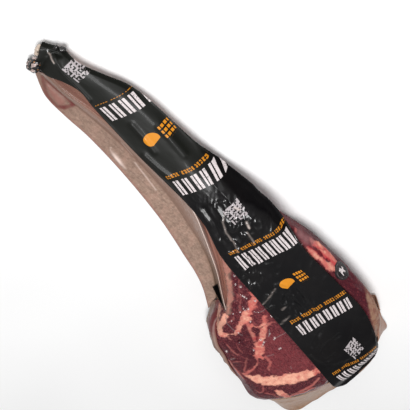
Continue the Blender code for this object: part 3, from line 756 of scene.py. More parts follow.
class Socket:
    """An output socket that works in expressions like a number."""

    __abs__ = maths("ABSOLUTE")
    __add__ = maths("ADD")
    __gt__ = maths("GREATER_THAN")
    __lt__ = maths("LESS_THAN")
    __mod__ = maths("FLOORED_MODULO")
    __mul__ = maths("MULTIPLY")
    __sub__ = maths("SUBTRACT")
    __truediv__ = maths("DIVIDE")
    floor = maths("FLOOR")
    least = maths("MINIMUM")
    most = maths("MAXIMUM")

    def __init__(self, paint, output):
        self.paint = paint
        self.output = output

    def maths_node(self, operation, *values):
        return self.paint.node("ShaderNodeMath", {"operation": operation}, dict(enumerate(values)))

    def __rsub__(self, other):
        return self.maths_node("SUBTRACT", other, self)

    def between(self, low, high):
        return (self > low) * (self < high)

    def ease(self, low, high):
        """Rise smoothly from 0 at low to 1 at high, or fall from 1 where low is the larger."""
        return self.paint.node("ShaderNodeMapRange", {"interpolation_type": "SMOOTHSTEP"},
                               {"Value": self, "From Min": low, "From Max": high})


def rgb(red, green, blue):
    """A screen colour from 0 to 255 as the linear colour that a node takes."""
    linear = [((c / 255 + 0.055) / 1.055) ** 2.4 if c > 10 else c / 255 / 12.92 for c in (red, green, blue)]
    return (*linear, 1.0)


class Paint:
    """Builds the nodes of one material."""

    def __init__(self, name):
        self.material = bpy.data.materials.new(name)
        self.material.use_nodes = True
        self.nodes = self.material.node_tree.nodes
        self.links = self.material.node_tree.links
        self.nodes.clear()
        self.place = self.node("ShaderNodeTexCoord", output="Object")

    def node(self, kind, settings=None, sockets=None, output=0):
        made = self.nodes.new(kind)
        for key, value in (settings or {}).items():
            setattr(made, key, value)
        for key, value in (sockets or {}).items():
            if isinstance(value, Socket):
                self.links.new(value.output, made.inputs[key])
            else:
                made.inputs[key].default_value = value
        return Socket(self, made.outputs[output])

    def fields(self, *names):
        """The numbers that a piece keeps under these names."""
        return [self.node("ShaderNodeAttribute", {"attribute_name": name}, output="Fac") for name in names]

    def place_field(self, name):
        """The vector that a piece keeps under this name."""
        return self.node("ShaderNodeAttribute", {"attribute_name": name}, output="Vector")

    def parts(self, vector):
        split = self.node("ShaderNodeSeparateXYZ", sockets={"Vector": vector})
        return [Socket(self, out) for out in split.output.node.outputs]

    def joined(self, x, y, z):
        return self.node("ShaderNodeCombineXYZ", sockets={"X": x, "Y": y, "Z": z})

    def noise(self, size, detail=2.0, roughness=0.5, stretch=None, place=None):
        """Noise from 0 to 1 whose patches are about the given number of millimetres."""
        place = place or self.place
        if stretch:
            place = self.node("ShaderNodeVectorMath", {"operation": "MULTIPLY"}, {0: place, 1: stretch})
        sockets = {"Vector": place, "Scale": 1 / (size * MM), "Detail": detail, "Roughness": roughness}
        return self.node("ShaderNodeTexNoise", None, sockets)

    def dice(self, vector, dimensions):
        """A random number from 0 to 1 for each whole place."""
        return self.node("ShaderNodeTexWhiteNoise", {"noise_dimensions": dimensions}, {"Vector": vector},
                         output="Value")

    def mix(self, share, first, second):
        """A colour between two, each a socket, a setting or a screen colour from 0 to 255."""
        first, second = (rgb(*side) if isinstance(side, tuple) else side for side in (first, second))
        return self.node("ShaderNodeMix", {"data_type": "RGBA"}, {0: share, 6: first, 7: second}, output=2)

    def layers(self, colour, *over):
        """A colour with others laid over it in turn, each given as its share and itself."""
        for share, layer in over:
            colour = self.mix(share, colour, layer)
        return colour

    def bump(self, height, distance, under=None):
        sockets = {"Height": height, "Distance": distance * MM}
        if under:
            sockets["Normal"] = under
        return self.node("ShaderNodeBump", None, sockets)

    def surface(self, colour, roughness, bump=None, gleam=0.5, coat=0.0, coat_roughness=0.03, alpha=1.0):
        """The main shader. Gleam is the part of the usual reflection that a surface keeps."""
        sockets = {"Base Color": colour, "Roughness": roughness, "Specular IOR Level": gleam,
                   "Coat Weight": coat, "Coat Roughness": coat_roughness, "Alpha": alpha}
        if bump:
            sockets["Normal"] = bump
        return self.node("ShaderNodeBsdfPrincipled", None, sockets)

    def either(self, share, first, second):
        """A shader between two shaders."""
        return self.node("ShaderNodeMixShader", None, {0: share, 1: first, 2: second})

    def finish(self, shader):
        out = self.nodes.new("ShaderNodeOutputMaterial")
        self.links.new(shader.output, out.inputs["Surface"])
        return self.material


def lean_colour(paint, look, fine):
    """Muscle with a wet grain, and thin pale veins, specks and strands where it is marbled."""
    tone, marbled = paint.fields("tone", "marbled")
    grain = paint.noise(2.4, 5.0, 0.75, (0.6, 1.4, 1.0)) - 0.5
    veins = abs(paint.noise(8.0, 4.0, 0.6, (0.7, 1.3, 1.0)) - 0.5).ease(0.022, 0.002)
    strands = abs(paint.noise(4.0, 3.0, 0.6, (0.5, 1.7, 1.0)) - 0.5).ease(0.03, 0.0)
    lean = paint.mix((tone + grain * 2.6 + fine * 1.6).ease(0.0, 1.0), look.lean_dark, look.lean_pale)
    return paint.layers(lean,
                        (veins * paint.noise(13.0).ease(0.42, 0.62) * marbled * 0.55, (150, 76, 78)),
                        (paint.noise(1.5).ease(0.60, 0.72) * marbled * 0.6, (166, 92, 90)),
                        (strands * marbled * (1 - tone) * 0.3, (150, 70, 74)))


def fat_colour(paint, look, gap, wobble):
    """Fat, pink in thin seams and creamy where it is thick, with blushes, vessels and a redder rim."""
    cream, thick = paint.fields("cream", "thick")
    cloud = paint.noise(7.0, 4.0, 0.6) - 0.5
    blush = paint.noise(4.5, 4.0, 0.65, (1.0, 1.6, 1.0)).ease(0.50, 0.72)
    vessel = abs(paint.noise(5.0, 3.0, 0.6) - 0.5).ease(0.02, 0.0) * paint.noise(9.0, 1.0).ease(0.45, 0.6)
    rim = (gap + wobble * 5.0).ease(-3.0, 0.0)
    share = (cream * 1.15 - 0.12 + cloud * 2.2 + wobble * 1.2).ease(0.0, 1.0)
    return paint.layers(paint.mix(share, look.fat_pink, look.fat_cream),
                        (blush * 0.6 * (1 - cream * 0.85), (160, 58, 60)),
                        (vessel * 0.4, (176, 70, 70)),
                        (rim * 0.4 * (1 - cream * 0.4), (178, 82, 80)),
                        ((1 - thick) * 0.6, (172, 98, 94)))


def meat_material(look):
    """Wet muscle and fat, with red and purple spots and the colours of film drawn over the meat."""
    paint = Paint("wet_meat")
    gap, thick, red, purple, grey_side, collar, black_print, shine = paint.fields(
        "fat_gap", "thick", "red", "purple", "grey_side", "collar", "black_print", "shine")
    broad = paint.noise(9.0) - 0.5
    wobble = paint.noise(3.6, 4.0, 0.65) - 0.5
    fine = paint.noise(1.1, 3.0, 0.6) - 0.5
    edge = gap + broad * thick * 9.0 + wobble * (thick * 4.0 + 2.0) + fine * (thick + 1.2)
    fat = edge.ease(1.0, -0.9) * (thick * 0.4 + 0.6)
    flap = paint.mix(paint.noise(6.0, 4.0, 0.6).ease(0.4, 0.65), (158, 122, 100), (132, 84, 70))
    colour = paint.mix(fat, lean_colour(paint, look, fine), fat_colour(paint, look, gap, wobble))
    colour = paint.layers(colour, (red, paint.mix(fat, (98, 12, 26), (176, 40, 54))),
                          (purple, (146, 100, 102)),
                          (grey_side, (142, 118, 104)),
                          (collar, flap),
                          (black_print, (20, 17, 16)))
    bump = paint.bump(paint.noise(3.0, 4.0, 0.6) + fat * 0.25, 0.9)
    return paint.finish(paint.surface(colour, 0.5, bump, gleam=0.08, coat=shine, coat_roughness=0.12))


def bone_material():
    """Damp bone with long streaks and red lines, duller towards its tip."""
    paint = Paint("damp_bone")
    tip, red = paint.fields("tip", "red")
    grain = paint.noise(2.0, 4.0, 0.6, (0.16, 1.0, 1.0))
    lines = paint.noise(3.4, 3.0, stretch=(0.07, 1.0, 1.0)).ease(0.57, 0.70)
    colour = paint.layers(paint.mix(tip, (198, 138, 122), (160, 120, 106)),
                          (grain.ease(0.38, 0.70) * 0.6, (190, 146, 132)),
                          (lines * 0.55, (128, 54, 52)),
                          (red, (112, 30, 34)))
    bump = paint.bump(grain, 0.6)
    return paint.finish(paint.surface(colour, 0.45, bump, gleam=0.15, coat=0.3, coat_roughness=0.15))


def word_masks(paint):
    """Where the band's white bars and orange dashes are."""
    along, across, _ = paint.parts(paint.place_field("print_place"))
    turn = (along + 0.1) % 1.0
    letter = across.floor()
    in_letter = across - letter
    dice = paint.dice(paint.joined(letter, 3.0, 0.0), "2D")
    width = dice * 0.22 + 0.56
    bars = in_letter.between(0.06, 0.9) * (in_letter < width)
    slit = (abs(in_letter - width * 0.5) < 0.065) * (dice > 0.3)
    worn = paint.noise(1.3).ease(0.66, 0.58) * 0.6 + 0.4
    white = turn.between(0.10, 0.272) * across.between(0.0, 7.9) * bars * (1 - slit) * worn
    dash = (across * 3.4 + paint.noise(5.0, 1.0) * 0.8) % 1.0 < 0.62
    space = (across * 0.61 + 0.2) % 1.0 > 0.13
    notch = (abs(turn - 0.037) < 0.006) * ((across * 1.7) % 1.0 < 0.5)
    dashes = turn.between(0.016, 0.058) * across.between(-0.1, 8.0) * dash * space * (1 - notch)
    started = along > 0.95
    return started * white, started * dashes


def patch_masks(paint):
    """Where the band's random squares and plain orange shapes are."""
    first, second, _ = paint.parts(paint.place_field("patch_place"))
    kind, = paint.fields("patch_kind")
    block = paint.dice(paint.joined((first * 12).floor(), (second * 12).floor(), kind.floor()), "3D")
    code = (abs(kind - 1.0) < 0.03) * (abs(first) < 0.5) * (abs(second) < 0.5) * (block > 0.44)
    round_gap = (first * first) / 0.16 + (second * second) / 0.2
    shape = (round_gap < 1.0) * (first + second * 0.4 < 0.3)
    mark_row = (first * 3.2 + 0.5) % 1.0 < 0.62
    mark_dash = (second * 6.0) % 1.0 < 0.7
    marks = abs(first).ease(0.48, 0.46) * second.between(0.62, 1.22) * mark_row * mark_dash
    return code, (kind > 1.97) * shape.most(marks)


def band_material(look):
    """Black film with worn white and orange print, glossy on its folds and dull where it is plain, with a
    painted highlight on a few folds.
    """
    paint = Paint("printed_film")
    white, dashes = word_masks(paint)
    code, orange = patch_masks(paint)
    bone_zone, milky, wrinkled = paint.fields("bone_zone", "milky", "wrinkled")
    shine, plain = paint.fields("shine", "plain")
    # The last layer is a painted highlight: a milky colour on a few folds
    colour = paint.layers(paint.mix(paint.noise(30.0).ease(0.35, 0.7), look.film_black, (16, 14, 15)),
                          (bone_zone * 0.9, (27, 28, 25)),
                          (white, look.print_white),
                          (code, (176, 168, 170)),
                          (dashes * 0.8, look.print_orange),
                          (orange, look.print_orange),
                          (milky, (206, 190, 182)))
    fine = paint.bump(paint.noise(2.2), 0.05)
    bump = paint.bump(paint.noise(5.5, 3.0, 0.55, (0.45, 1.2, 1.0)) * wrinkled, 0.55, under=fine)
    film_roughness = paint.noise(18.0) * 0.16 + 0.30 + bone_zone * 0.12
    glossy = paint.surface(colour, film_roughness, bump, gleam=0.22, coat=shine, coat_roughness=0.08)
    return paint.finish(paint.either(plain, glossy, paint.surface(colour, 0.9, bump, gleam=0.0)))


TINTED_FIELDS = ("over_bone", "smooth_strip", "shade", "veined", "tip", "pink", "juice", "bright",
                 "black_print")


def tinted_film_material(name, tint, gloss):
    """Clear film that shows the dull table under it, with painted highlight streaks, painted highlights,
    painted shade, juice and print as its fields say.
    """
    paint = Paint(name)
    over, smooth, shade, veined, tip, pink, juice, bright, black_print = paint.fields(*TINTED_FIELDS)
    mottle = paint.noise(2.8, 5.0, 0.7)
    patches = paint.noise(9.0, 3.0, 0.6, (1.0, 0.7, 1.0)).ease(0.45, 0.68)
    pale = paint.noise(2.2, 3.0, 0.65, (0.6, 1.7, 1.0)).ease(0.54, 0.68)
    # Painted highlight streaks along the film's rows
    streak = paint.noise(0.9, place=paint.place_field("streak_place")).ease(0.60, 0.78)
    vein = abs(paint.noise(11.0) - 0.5).ease(0.014, 0.0) * veined
    darker = paint.mix(0.42, tint, (84, 68, 58))
    colour = paint.layers(paint.mix(mottle.ease(0.34, 0.62), darker, tint),
                          (patches * 0.35, (190, 152, 136)),
                          (pale * 0.4, (198, 170, 156)),
                          (paint.noise(1.1).ease(0.60, 0.76) * 0.35, (116, 98, 86)),
                          (smooth * 0.8, (148, 116, 102)),
                          (shade, (108, 88, 72)),
                          (streak * 0.35, (196, 172, 160)),
                          (vein * 0.6, (140, 76, 64)),
                          (over, (174, 124, 108)),
                          (tip * 0.55, (112, 86, 76)),
                          (pink, (152, 104, 96)),
                          ((juice + (mottle - 0.5) * 0.5).ease(0.15, 0.95), (104, 34, 40)),
                          # painted highlight of the ridge, hairs, glare and skirt line
                          (bright, (238, 216, 206)),
                          (black_print, (16, 15, 14)))
    bump = paint.bump(paint.noise(4.0, 3.0, 0.6), 0.5)
    alpha = (1 - over * 0.45).most(bright)
    glossy = paint.surface(colour, 0.36, bump, gleam=0.15, coat=gloss, coat_roughness=0.14, alpha=alpha)
    dull = paint.surface(colour, 0.9, gleam=0.0)
    return paint.finish(paint.either(black_print.most(shade), glossy, dull))


def clear_film_material():
    """Thin clear film: most light passes, with gloss, a slight haze on its folds and a painted white
    highlight at each glint point.
    """
    paint = Paint("clear_film")
    haze, glint = paint.fields("haze", "glint")
    bump = paint.bump(paint.noise(4.0, 3.0, 0.6, (0.55, 1.2, 1.0)), 0.5)
    mist = paint.node("ShaderNodeBsdfDiffuse", None, {"Color": rgb(244, 224, 222), "Normal": bump})
    through = paint.node("ShaderNodeBsdfTransparent")
    body = paint.either((haze * 0.08).most(glint * 0.8), through, mist)
    gloss = paint.node("ShaderNodeBsdfAnisotropic", None, {"Roughness": 0.10, "Normal": bump})
    share = paint.node("ShaderNodeFresnel", None, {"IOR": 1.3}).least(0.08) * (haze * 3.0 + 0.3)
    return paint.finish(paint.either(share, body, gloss))


def label_material(look):
    """Dark sticker with a faint broken ring and a few plain white patches."""
    paint = Paint("sticker_print")
    across, up, _ = paint.parts(paint.place_field("label_place"))
    ring = (across * across + up * up).between(0.62, 0.74) * (paint.noise(1.6, 1.0) > 0.48)
    middle = (abs(across) < 0.42) * (abs(up) < 0.40) * (paint.noise(3.2, 1.0) > 0.52)
    colour = paint.layers(paint.mix(paint.noise(5.0).ease(0.4, 0.6), (46, 42, 43), (30, 27, 29)),
                          (ring * 0.5, (120, 112, 114)),
                          (middle, look.print_white))
    bump = paint.bump(paint.noise(2.0), 0.2)
    return paint.finish(paint.surface(colour, 0.45, bump, gleam=0.15, coat=0.15, coat_roughness=0.15))


def crumpled_material():
    """Crumpled black film with bits of print. A roll's field is 1 for pale film and -1 for plain film."""
    paint = Paint("crumpled_print")
    paleness, = paint.fields("pale")
    bits = paint.noise(4.2, 1.0)
    printed = paleness > -0.5
    pale = paleness > 0.5
    orange = (paint.noise(3.2, 1.0, stretch=(1.3, 1.0, 1.0)) > 0.66) * (bits < 0.5)
    colour = paint.layers(paint.mix(paint.noise(4.0, 1.0).ease(0.4, 0.6), (20, 19, 19), (34, 31, 31)),
                          ((bits > 0.57) * printed, (176, 156, 150)),
                          (orange * printed, (150, 96, 44)),
                          (pale, (196, 178, 162)),
                          ((paint.noise(1.6, 1.0) > 0.60) * pale, (34, 31, 30)))
    return paint.finish(paint.surface(colour, 0.28, paint.bump(paint.noise(2.5, 3.0), 0.6), coat=0.3))


def floor_material(look):
    """Pale, dull table with slight clouds."""
    paint = Paint("pale_table")
    colour = paint.mix(paint.noise(300.0).ease(0.3, 0.7), look.floor_colour, (238, 238, 238))
    return paint.finish(paint.surface(colour, 0.9, paint.bump(paint.noise(1.5), 0.03), gleam=0.2))


# Settings


def colour_setting(name, description, *screen_colour):
    """A colour that a user may change, with its screen colour from 0 to 255 as the default."""
    return bpy.props.FloatVectorProperty(name=name, description=description, default=rgb(*screen_colour),
                                         size=4, subtype="COLOR", min=0, max=1)


def number_setting(name, description, default, low, high):
    """A number that a user may change."""
    return bpy.props.FloatProperty(name=name, description=description, default=default, min=low, max=high)


class SteakLook(bpy.types.PropertyGroup):
    """Sizes and colours that a user may change before building."""

    meat_voxel: number_setting("Meat grain", "Size of the meat mesh's faces, in mm", 1.35, 0.8, 4.0)
    wrinkle_height: number_setting("Wrinkle height", "How high the band's wrinkles are", 1.0, 0.0, 2.0)
    film_thickness: number_setting("Film thickness", "Thickness of each film sheet, in mm", 0.35, 0.1, 1.0)
    lean_dark: colour_setting("Dark lean", "Colour of the darkest muscle", 66, 18, 29)
    lean_pale: colour_setting("Pale lean", "Colour of the palest muscle", 120, 50, 55)
    fat_pink: colour_setting("Pink fat", "Colour of the fat in thin seams", 203, 108, 98)
    fat_cream: colour_setting("Creamy fat", "Colour of the thick fat", 244, 182, 156)
    film_tint: colour_setting("Film tint", "Colour of the flat film on the table", 160, 134, 119)
    end_tint: colour_setting("End film tint", "Colour of the film past the meat", 174, 136, 106)
    film_black: colour_setting("Band black", "Colour of the printed band", 9, 8, 10)
    print_white: colour_setting("Print white", "Colour of the white bars", 212, 202, 202)
    print_orange: colour_setting("Print orange", "Colour of the orange shapes", 212, 136, 34)
    floor_colour: colour_setting("Table colour", "Colour of the table", 244, 244, 244)


def look():
    """The settings of this scene."""
    return bpy.context.scene.steak_look


# Fields of the pieces, from 0 to 1 unless they are distances


def under_band(points):
    """1 well inside the band's edges, 0 outside them."""
    left, right = smooth_rows(BAND_LEFT, 240), smooth_rows(BAND_RIGHT, 240)
    inside = np.zeros(len(points))
    for start in range(0, len(points), 20000):
        part = points[start:start + 20000, :2]
        middle = (left + right) / 2
        row = np.argmin(((part[:, None] - middle[None]) ** 2).sum(axis=2), axis=1)
        half = np.linalg.norm(right - left, axis=1)[row] / 2
        side = ((right - left) / np.linalg.norm(right - left, axis=1)[:, None])[row]
        across = np.abs(((part - middle[row]) * side).sum(axis=1))
        inside[start:start + 20000] = ease(half - across, 1.5, 4.5)
    return inside


def notch_print(points):
    """1 where the film in the notch shows black print: a triangle, carried along one slant."""
    rise = points[:, 2] - WEB_FOOT_HEIGHT
    x, y = points[:, 0] + NOTCH_LEAN[0] * rise, points[:, 1] + NOTCH_LEAN[1] * rise
    past = x - NOTCH_START
    near, far = (place + slope * past for place, slope in (NOTCH_NEAR_SIDE, NOTCH_FAR_SIDE))
    return ease(past, -0.4, 0.6) * ease(y - near, -0.4, 0.5) * ease(far - y, -0.4, 0.5)


def fat_fields(felt, on_edge):
    """Distance outside the nearest fat line, and that line's creaminess and thickness."""
    gap, cream, thick = np.full(len(felt), 50.0), np.full(len(felt), 0.4), np.ones(len(felt))
    for hue, line in FAT_LINES + EDGE_FAT:
        away = line_distance(felt, line)
        if len(line[0]) == 3:
            away = away + on_edge * 50
        widest = max(point[-1] for point in line)
        cream = np.where(away < gap, hue, cream)
        thick = np.where(away < gap, ease(widest, 0.3, 4.0), thick)
        gap = np.minimum(gap, away)
    return gap, cream, thick


def lean_tone(felt, on_edge):
    """Tone of the muscle, drawn from the named places near it and from a faint middle tone everywhere."""
    middle_tone, middle_weight, reach_squared = 0.42, 0.10, 22
    weights = np.full(len(felt), middle_weight)
    total = middle_tone * weights
    for tone, line in LEAN_TONES + EDGE_TONES:
        weight = np.exp(-line_distance(felt, line).clip(0) ** 2 / reach_squared)
        if len(line[0]) == 3:
            weight = weight * (1 - on_edge)
        total, weights = total + tone * weight, weights + weight
    return total / weights


def meat_red(felt):
    """Red spots and thin red lines in the fat."""
    red = spots_strength(felt, RED_SPOTS) * 0.85
    for line in RED_LINES:
        red = np.maximum(red, 0.75 * bell(line_distance(felt, line).clip(0), 1.1))
    return red


def meat_grey(points, felt, gap):
    """Grey film drawn over the lobe beside the bone, its shoulder, and the first fat seam."""
    lobe = ease(-points[:, 1], 30, 45) * ease(100 - points[:, 0], 0, 20) * ease(38 - points[:, 2], 0, 8)
    shoulder = hump(points, *MEAT_SHOULDER) * 0.5 * ease(-gap, -1.0, 1.0)
    seam = bell(line_distance(felt, FAT_LINES[0][1]).clip(0), 1.2)
    return np.maximum(np.maximum(lobe, shoulder) * 0.9, seam * 0.6)


def meat_collar(points):
    """The brown flap past a slanting line on the rounded edge."""
    x, y = points[:, 0] - COLLAR_POINT[0], points[:, 1] - COLLAR_POINT[1]
    return ease(y - x * COLLAR_SLOPE, -0.8, 1.4) * ease(points[:, 0], *COLLAR_START) * 0.9


# Pieces


class STEAK_OT_meat(bpy.types.Operator):
    """Build the meat with its fat seams, marbling and wet surface"""

    bl_idname = "steak.meat"
    bl_label = "Meat"

    def execute(self, context):
        filler = prism_mesh(MEAT_OVER_BONE, *MEAT_OVER_BONE_HEIGHTS)
        meat = remeshed("meat_slab", [cad("meat").data, filler], look().meat_voxel, meat_material(look()),
                        "meat", "meat")
        points, out = vertices(meat.data), normals(meat)
        points = points + np.outer(hump(points, *MEAT_CORNER), MEAT_CORNER_SHIFT)
        felt = points + np.stack([rough(points, 7, seed) for seed in (3, 5, 7)], axis=1) * 1.7
        on_edge = ease(points[:, 1], *MEAT_EDGE)
        cap = ease(points[:, 1], *MEAT_CAP)
        gap, cream, thick = fat_fields(felt, on_edge)
        store(meat, fat_gap=gap, cream=cream, thick=thick, tone=lean_tone(felt, on_edge), marbled=1 - cap,
              red=meat_red(felt), purple=spots_strength(felt, PURPLE_SPOTS) * 0.8,
              grey_side=meat_grey(points, felt, gap), collar=meat_collar(points),
              black_print=notch_print(points), shine=0.03 + 0.5 * ease(out[:, 2], 0.45, 0.8))
        relief = rough(points, 12, 11) * 0.45 + rough(points, 4, 13) * 0.16
        relief += ease(-gap, -1.0, 1.0) * 0.4
        relief += cap * creases(stretched(points, 3.0, 1.0), 9, 15) * 0.8
        relief -= under_band(points) * ease(out[:, 2], 0.2, 0.6) * 1.5
        relief[points[:, 2] < 1.5] = 0
        points = points + out * relief[:, None]
        points[:, 2] = np.maximum(points[:, 2], 0.0)
        move_vertices(meat, points)
        return {"FINISHED"}


class STEAK_OT_bone(bpy.types.Operator):
    """Build the rib bone with its damp, streaked surface"""

    bl_idname = "steak.bone"
    bl_label = "Rib bone"

    def execute(self, context):
        bone = remeshed("rib", [cad("rib_bone").data], 1.2, bone_material(), "bone", "rib_bone")
        points, out = vertices(bone.data), normals(bone)
        relief = 0.3 + rough(stretched(points, 4.0, 1.0), 8, 21) * 0.3 + rough(points, 3, 23) * 0.1
        relief -= under_band(points) * ease(out[:, 2], 0.0, 0.5) * 1.6
        tip = ease(-points[:, 0], 150, 200)
        red = ease(2.2 - line_distance(points, BONE_RED_EDGE), 0, 2.4) * 0.8
        red += ease(1.0 - line_distance(points, BONE_RED_LINE), 0, 1.2) * 0.5
        store(bone, tip=tip, red=np.clip(red + rough(points, 4, 25) * 0.15 * tip, 0, 1))
        move_vertices(bone, points + out * relief[:, None])
        return {"FINISHED"}


def band_glints(points, reach):
    """1 on the band's sharp folds, falling to 0 past their reach."""
    return np.max([line_bell(points, line, reach) for line in BAND_GLINTS], axis=0)


def band_wrinkles(points):
    """How far the film lies above its smooth run, in millimetres."""
    x, y = points[:, 0], points[:, 1]
    height = rough(stretched(points, 2.0, 1.0), 14, 31) * 0.35
    ribs = ease(x, -195, -170) * ease(-x, 72, 95)
    height += ribs * rough(stretched(points, 7.0, 1.0), 13, 33, 1) * 1.1
    slanted = np.stack([x * 0.74 - y * 0.67, (x * 0.67 + y * 0.74) * 2.6, np.zeros(len(x))], axis=1)
    crumple = creases(points, 12, 35) * 1.5 + creases(slanted, 9, 37) * 0.9 - 0.6
    height += hump(points, *BAND_CRUMPLE) * crumple
    over_meat = ease(x, -60, -20)
    middle = over_meat * ease(-x, -115, -85) * ease(66 - y, 0, 26)
    height += middle * (creases(slanted, 13, 39) * 1.3 + rough(slanted, 8, 41, 2) * 0.6)
    height += over_meat * ease(-x, -200, -170) * (1 - middle) * creases(slanted, 17, 47) * 0.8
    for place, rise in PLEATS:
        away = y - place - (x - PLEAT_X) * PLEAT_SLOPE
        height += rise * bell(away, 2.0) * ease(x, 52, 64) * ease(-x, -108, -96)
    far_end = rough(points, 30, 43, 2) * 1.6 + creases(stretched(points, 1.5, 1), 20, 45) * 0.8
    height += ease(x, 100, 125) * far_end
    height += 1.3 * line_bell(points, BAND_TIP_CREASE, 1.6) + 1.2 * band_glints(points, 1.3)
    for line in BAND_FOLDS:
        height += 1.5 * line_bell(points, line, 2.6)
    for line in BAND_HOLLOWS:
        height -= 1.3 * line_bell(points, line, 2.2)
    return height


def band_grid():
    """The band's film, laid over the solids, smoothed along the bone, wrinkled, and hung at its right."""
    rows, columns = BAND_GRID
    under = Surface(cad("printed_band"), cad("gathered_tail"))
    plan = strip(smooth_rows(BAND_LEFT, 200), smooth_rows(BAND_RIGHT, 200), np.linspace(0, 1, 64))
    coarse = np.dstack([plan, blur(under.heights(plan, 8.0), 3)])
    grid = more_rows(even_columns(coarse, columns), rows)
    grid[1:-1, 1:-1] = blur(grid, 4)[1:-1, 1:-1]
    x, z = grid[..., 0], grid[..., 2]
    z += (blur(z, 140) - z) * ease(-x, 70, 110) * 0.85
    rise = band_wrinkles(grid.reshape(-1, 3) * LEVEL).reshape(rows, columns)
    share = np.linspace(0, 1, columns)
    inside = np.minimum(ease(share, 0.0, 0.05), ease(1 - share, 0.0, 0.05))
    grid += grid_normals(grid) * (BAND_GAP + rise * look().wrinkle_height * (0.2 + 0.8 * inside))[..., None]
    hang = 8.0 * ease(x, -110, -70) * ease(-x, -25, 5) * ease(share, 0.90, 1.0)
    hang += 3.5 * ease(-x, 150, 180) * ease(share, 0.86, 1.0)
    z[:] = np.maximum(np.maximum(z, LOWEST_FILM) - hang, LOWEST_FILM)
    return grid


def word_place(plan):
    """Words counted along the band, and bars counted across it."""
    x, y = plan[..., 0], plan[..., 1]
    lines = [start + slant * (y - first) for start, slant, first, _ in WORD_STARTS]
    along = sum(np.clip((x - a) / (b - a), 0, 1) for a, b in zip(lines[:-1], lines[1:]))
    count = np.arange(len(WORD_STARTS))
    first = np.interp(along, count, [start[2] for start in WORD_STARTS])
    pitch = np.interp(along, count, [start[3] for start in WORD_STARTS])
    return np.dstack([along, (y - first) / pitch, np.zeros_like(along)])


def patch_place(plan):
    """Place in the nearest printed patch, in shares of its sides, and its kind."""
    place = np.full((*plan.shape[:2], 3), 4.0)
    kind = np.zeros(plan.shape[:2])
    for number, centre, along, across in PATCHES:
        sides = np.array([along, across]).T
        local = (plan - np.array(centre)) @ np.linalg.inv(sides).T
        near = (np.abs(local[..., 0]) < 0.8) & (local[..., 1] > -0.8) & (local[..., 1] < 1.5)
        place[near, :2] = local[near]
        kind[near] = number
    return place, kind


def band_milky(level):
    """Painted highlight in a milky colour on a few folds of the band, uneven along them."""
    milky = np.zeros(len(level))
    for strength, line in BAND_MILKY:
        away = line_distance(level, [(x, y, width / 2) for x, y, width in line]).clip(0)
        milky = np.maximum(milky, strength * bell(away, 0.55))
    return (milky * (0.8 + 0.7 * rough(level, 4, 107).clip(-0.5, 0.5))).clip(0, 1)


class STEAK_OT_printed_film(bpy.types.Operator):
    """Build the black printed band of the bag, with its wrinkles and plain print"""

    bl_idname = "steak.printed_film"
    bl_label = "Printed band"

    def execute(self, context):
        grid = band_grid()
        band = film_sheet("printed_film", grid, look().film_thickness, band_material(look()), "black_film",
                          "printed_band")
        place, kind = patch_place(grid[..., :2])
        level = grid.reshape(-1, 3) * LEVEL
        x, y = grid[..., 0], grid[..., 1]
        wrinkled = 0.25 + 0.9 * hump(level, *BAND_WRINKLES).reshape(BAND_GRID)
        wrinkled += 0.7 * ease(x, -30, 5) * ease(60 - y, 0, 25) + 0.2 * ease(x, 90, 120)
        sharp = band_glints(level, 2.2).reshape(BAND_GRID)
        slope = blur(1 - np.abs(grid_normals(grid)[..., 2]), 8)
        plain = np.maximum(ease(x + y * 0.25, 195, 215), ease(slope, 0.25, 0.5)) * (1 - sharp)
        store(band, print_place=word_place(grid[..., :2]), patch_place=place, patch_kind=kind,
              wrinkled=wrinkled, bone_zone=ease(-x, 60, 110), milky=band_milky(level), plain=plain * 0.95,
              shine=np.maximum(0.05 + 0.4 * ease(x, -75, -35) * ease(-x, -150, -110), sharp))
        return {"FINISHED"}


def tinted_sheet(name, grid, tint, gloss, streaks, *nodes, **fields):
    """A sheet of tinted film with painted highlight streaks, whose noise reaches as far both ways as the
    fifth argument says. A field not given is 0.
    """
    places = [np.linspace(0, far, count) for far, count in zip(streaks, grid.shape)]
    along, across = np.meshgrid(*places, indexing="ij")
    material = tinted_film_material(name, tint, gloss)
    sheet = film_sheet(name, grid, look().film_thickness, material, "clear_film", *nodes)
    fields = dict.fromkeys(TINTED_FIELDS, 0) | fields
    store(sheet, streak_place=np.dstack([along, across, np.zeros_like(along)]), **fields)


def web_grid():
    """Rows of points from the bag's seam over the flat film, up the tent to its ridge and over the bone."""
    lines = (WEB_OUTER, WEB_FOOT, WEB_RIDGE, OVER_BONE)
    outer, foot, ridge, over = (smooth_rows(line, WEB_ROWS) for line in lines)
    outer = np.column_stack([outer, np.full(WEB_ROWS, WEB_EDGE_HEIGHT)])
    foot = np.column_stack([foot, np.full(WEB_ROWS, WEB_FOOT_HEIGHT)])
    flat = strip(outer, foot, np.linspace(0, 1, FLAT_COLUMNS, endpoint=False))
    climb = np.linspace(0, 1, TENT_COLUMNS)
    tent = strip(foot, ridge, climb)
    tent[..., 2] += 1.6 * np.sin(np.pi * climb)
    share = np.linspace(0, 1, OVER_COLUMNS + 1)[1:]
    across_bone = strip(ridge[:, :2], over, share)
    on_bone = blur(Surface(cad("rib_bone")).heights(across_bone, 12.0), 6) + WEB_GAP
    settled = ease(share, 0.0, 0.22)
    height = ridge[:, None, 2] * (1 - settled) + on_bone * settled
    return np.concatenate([flat, tent, np.dstack([across_bone, height])], axis=1)


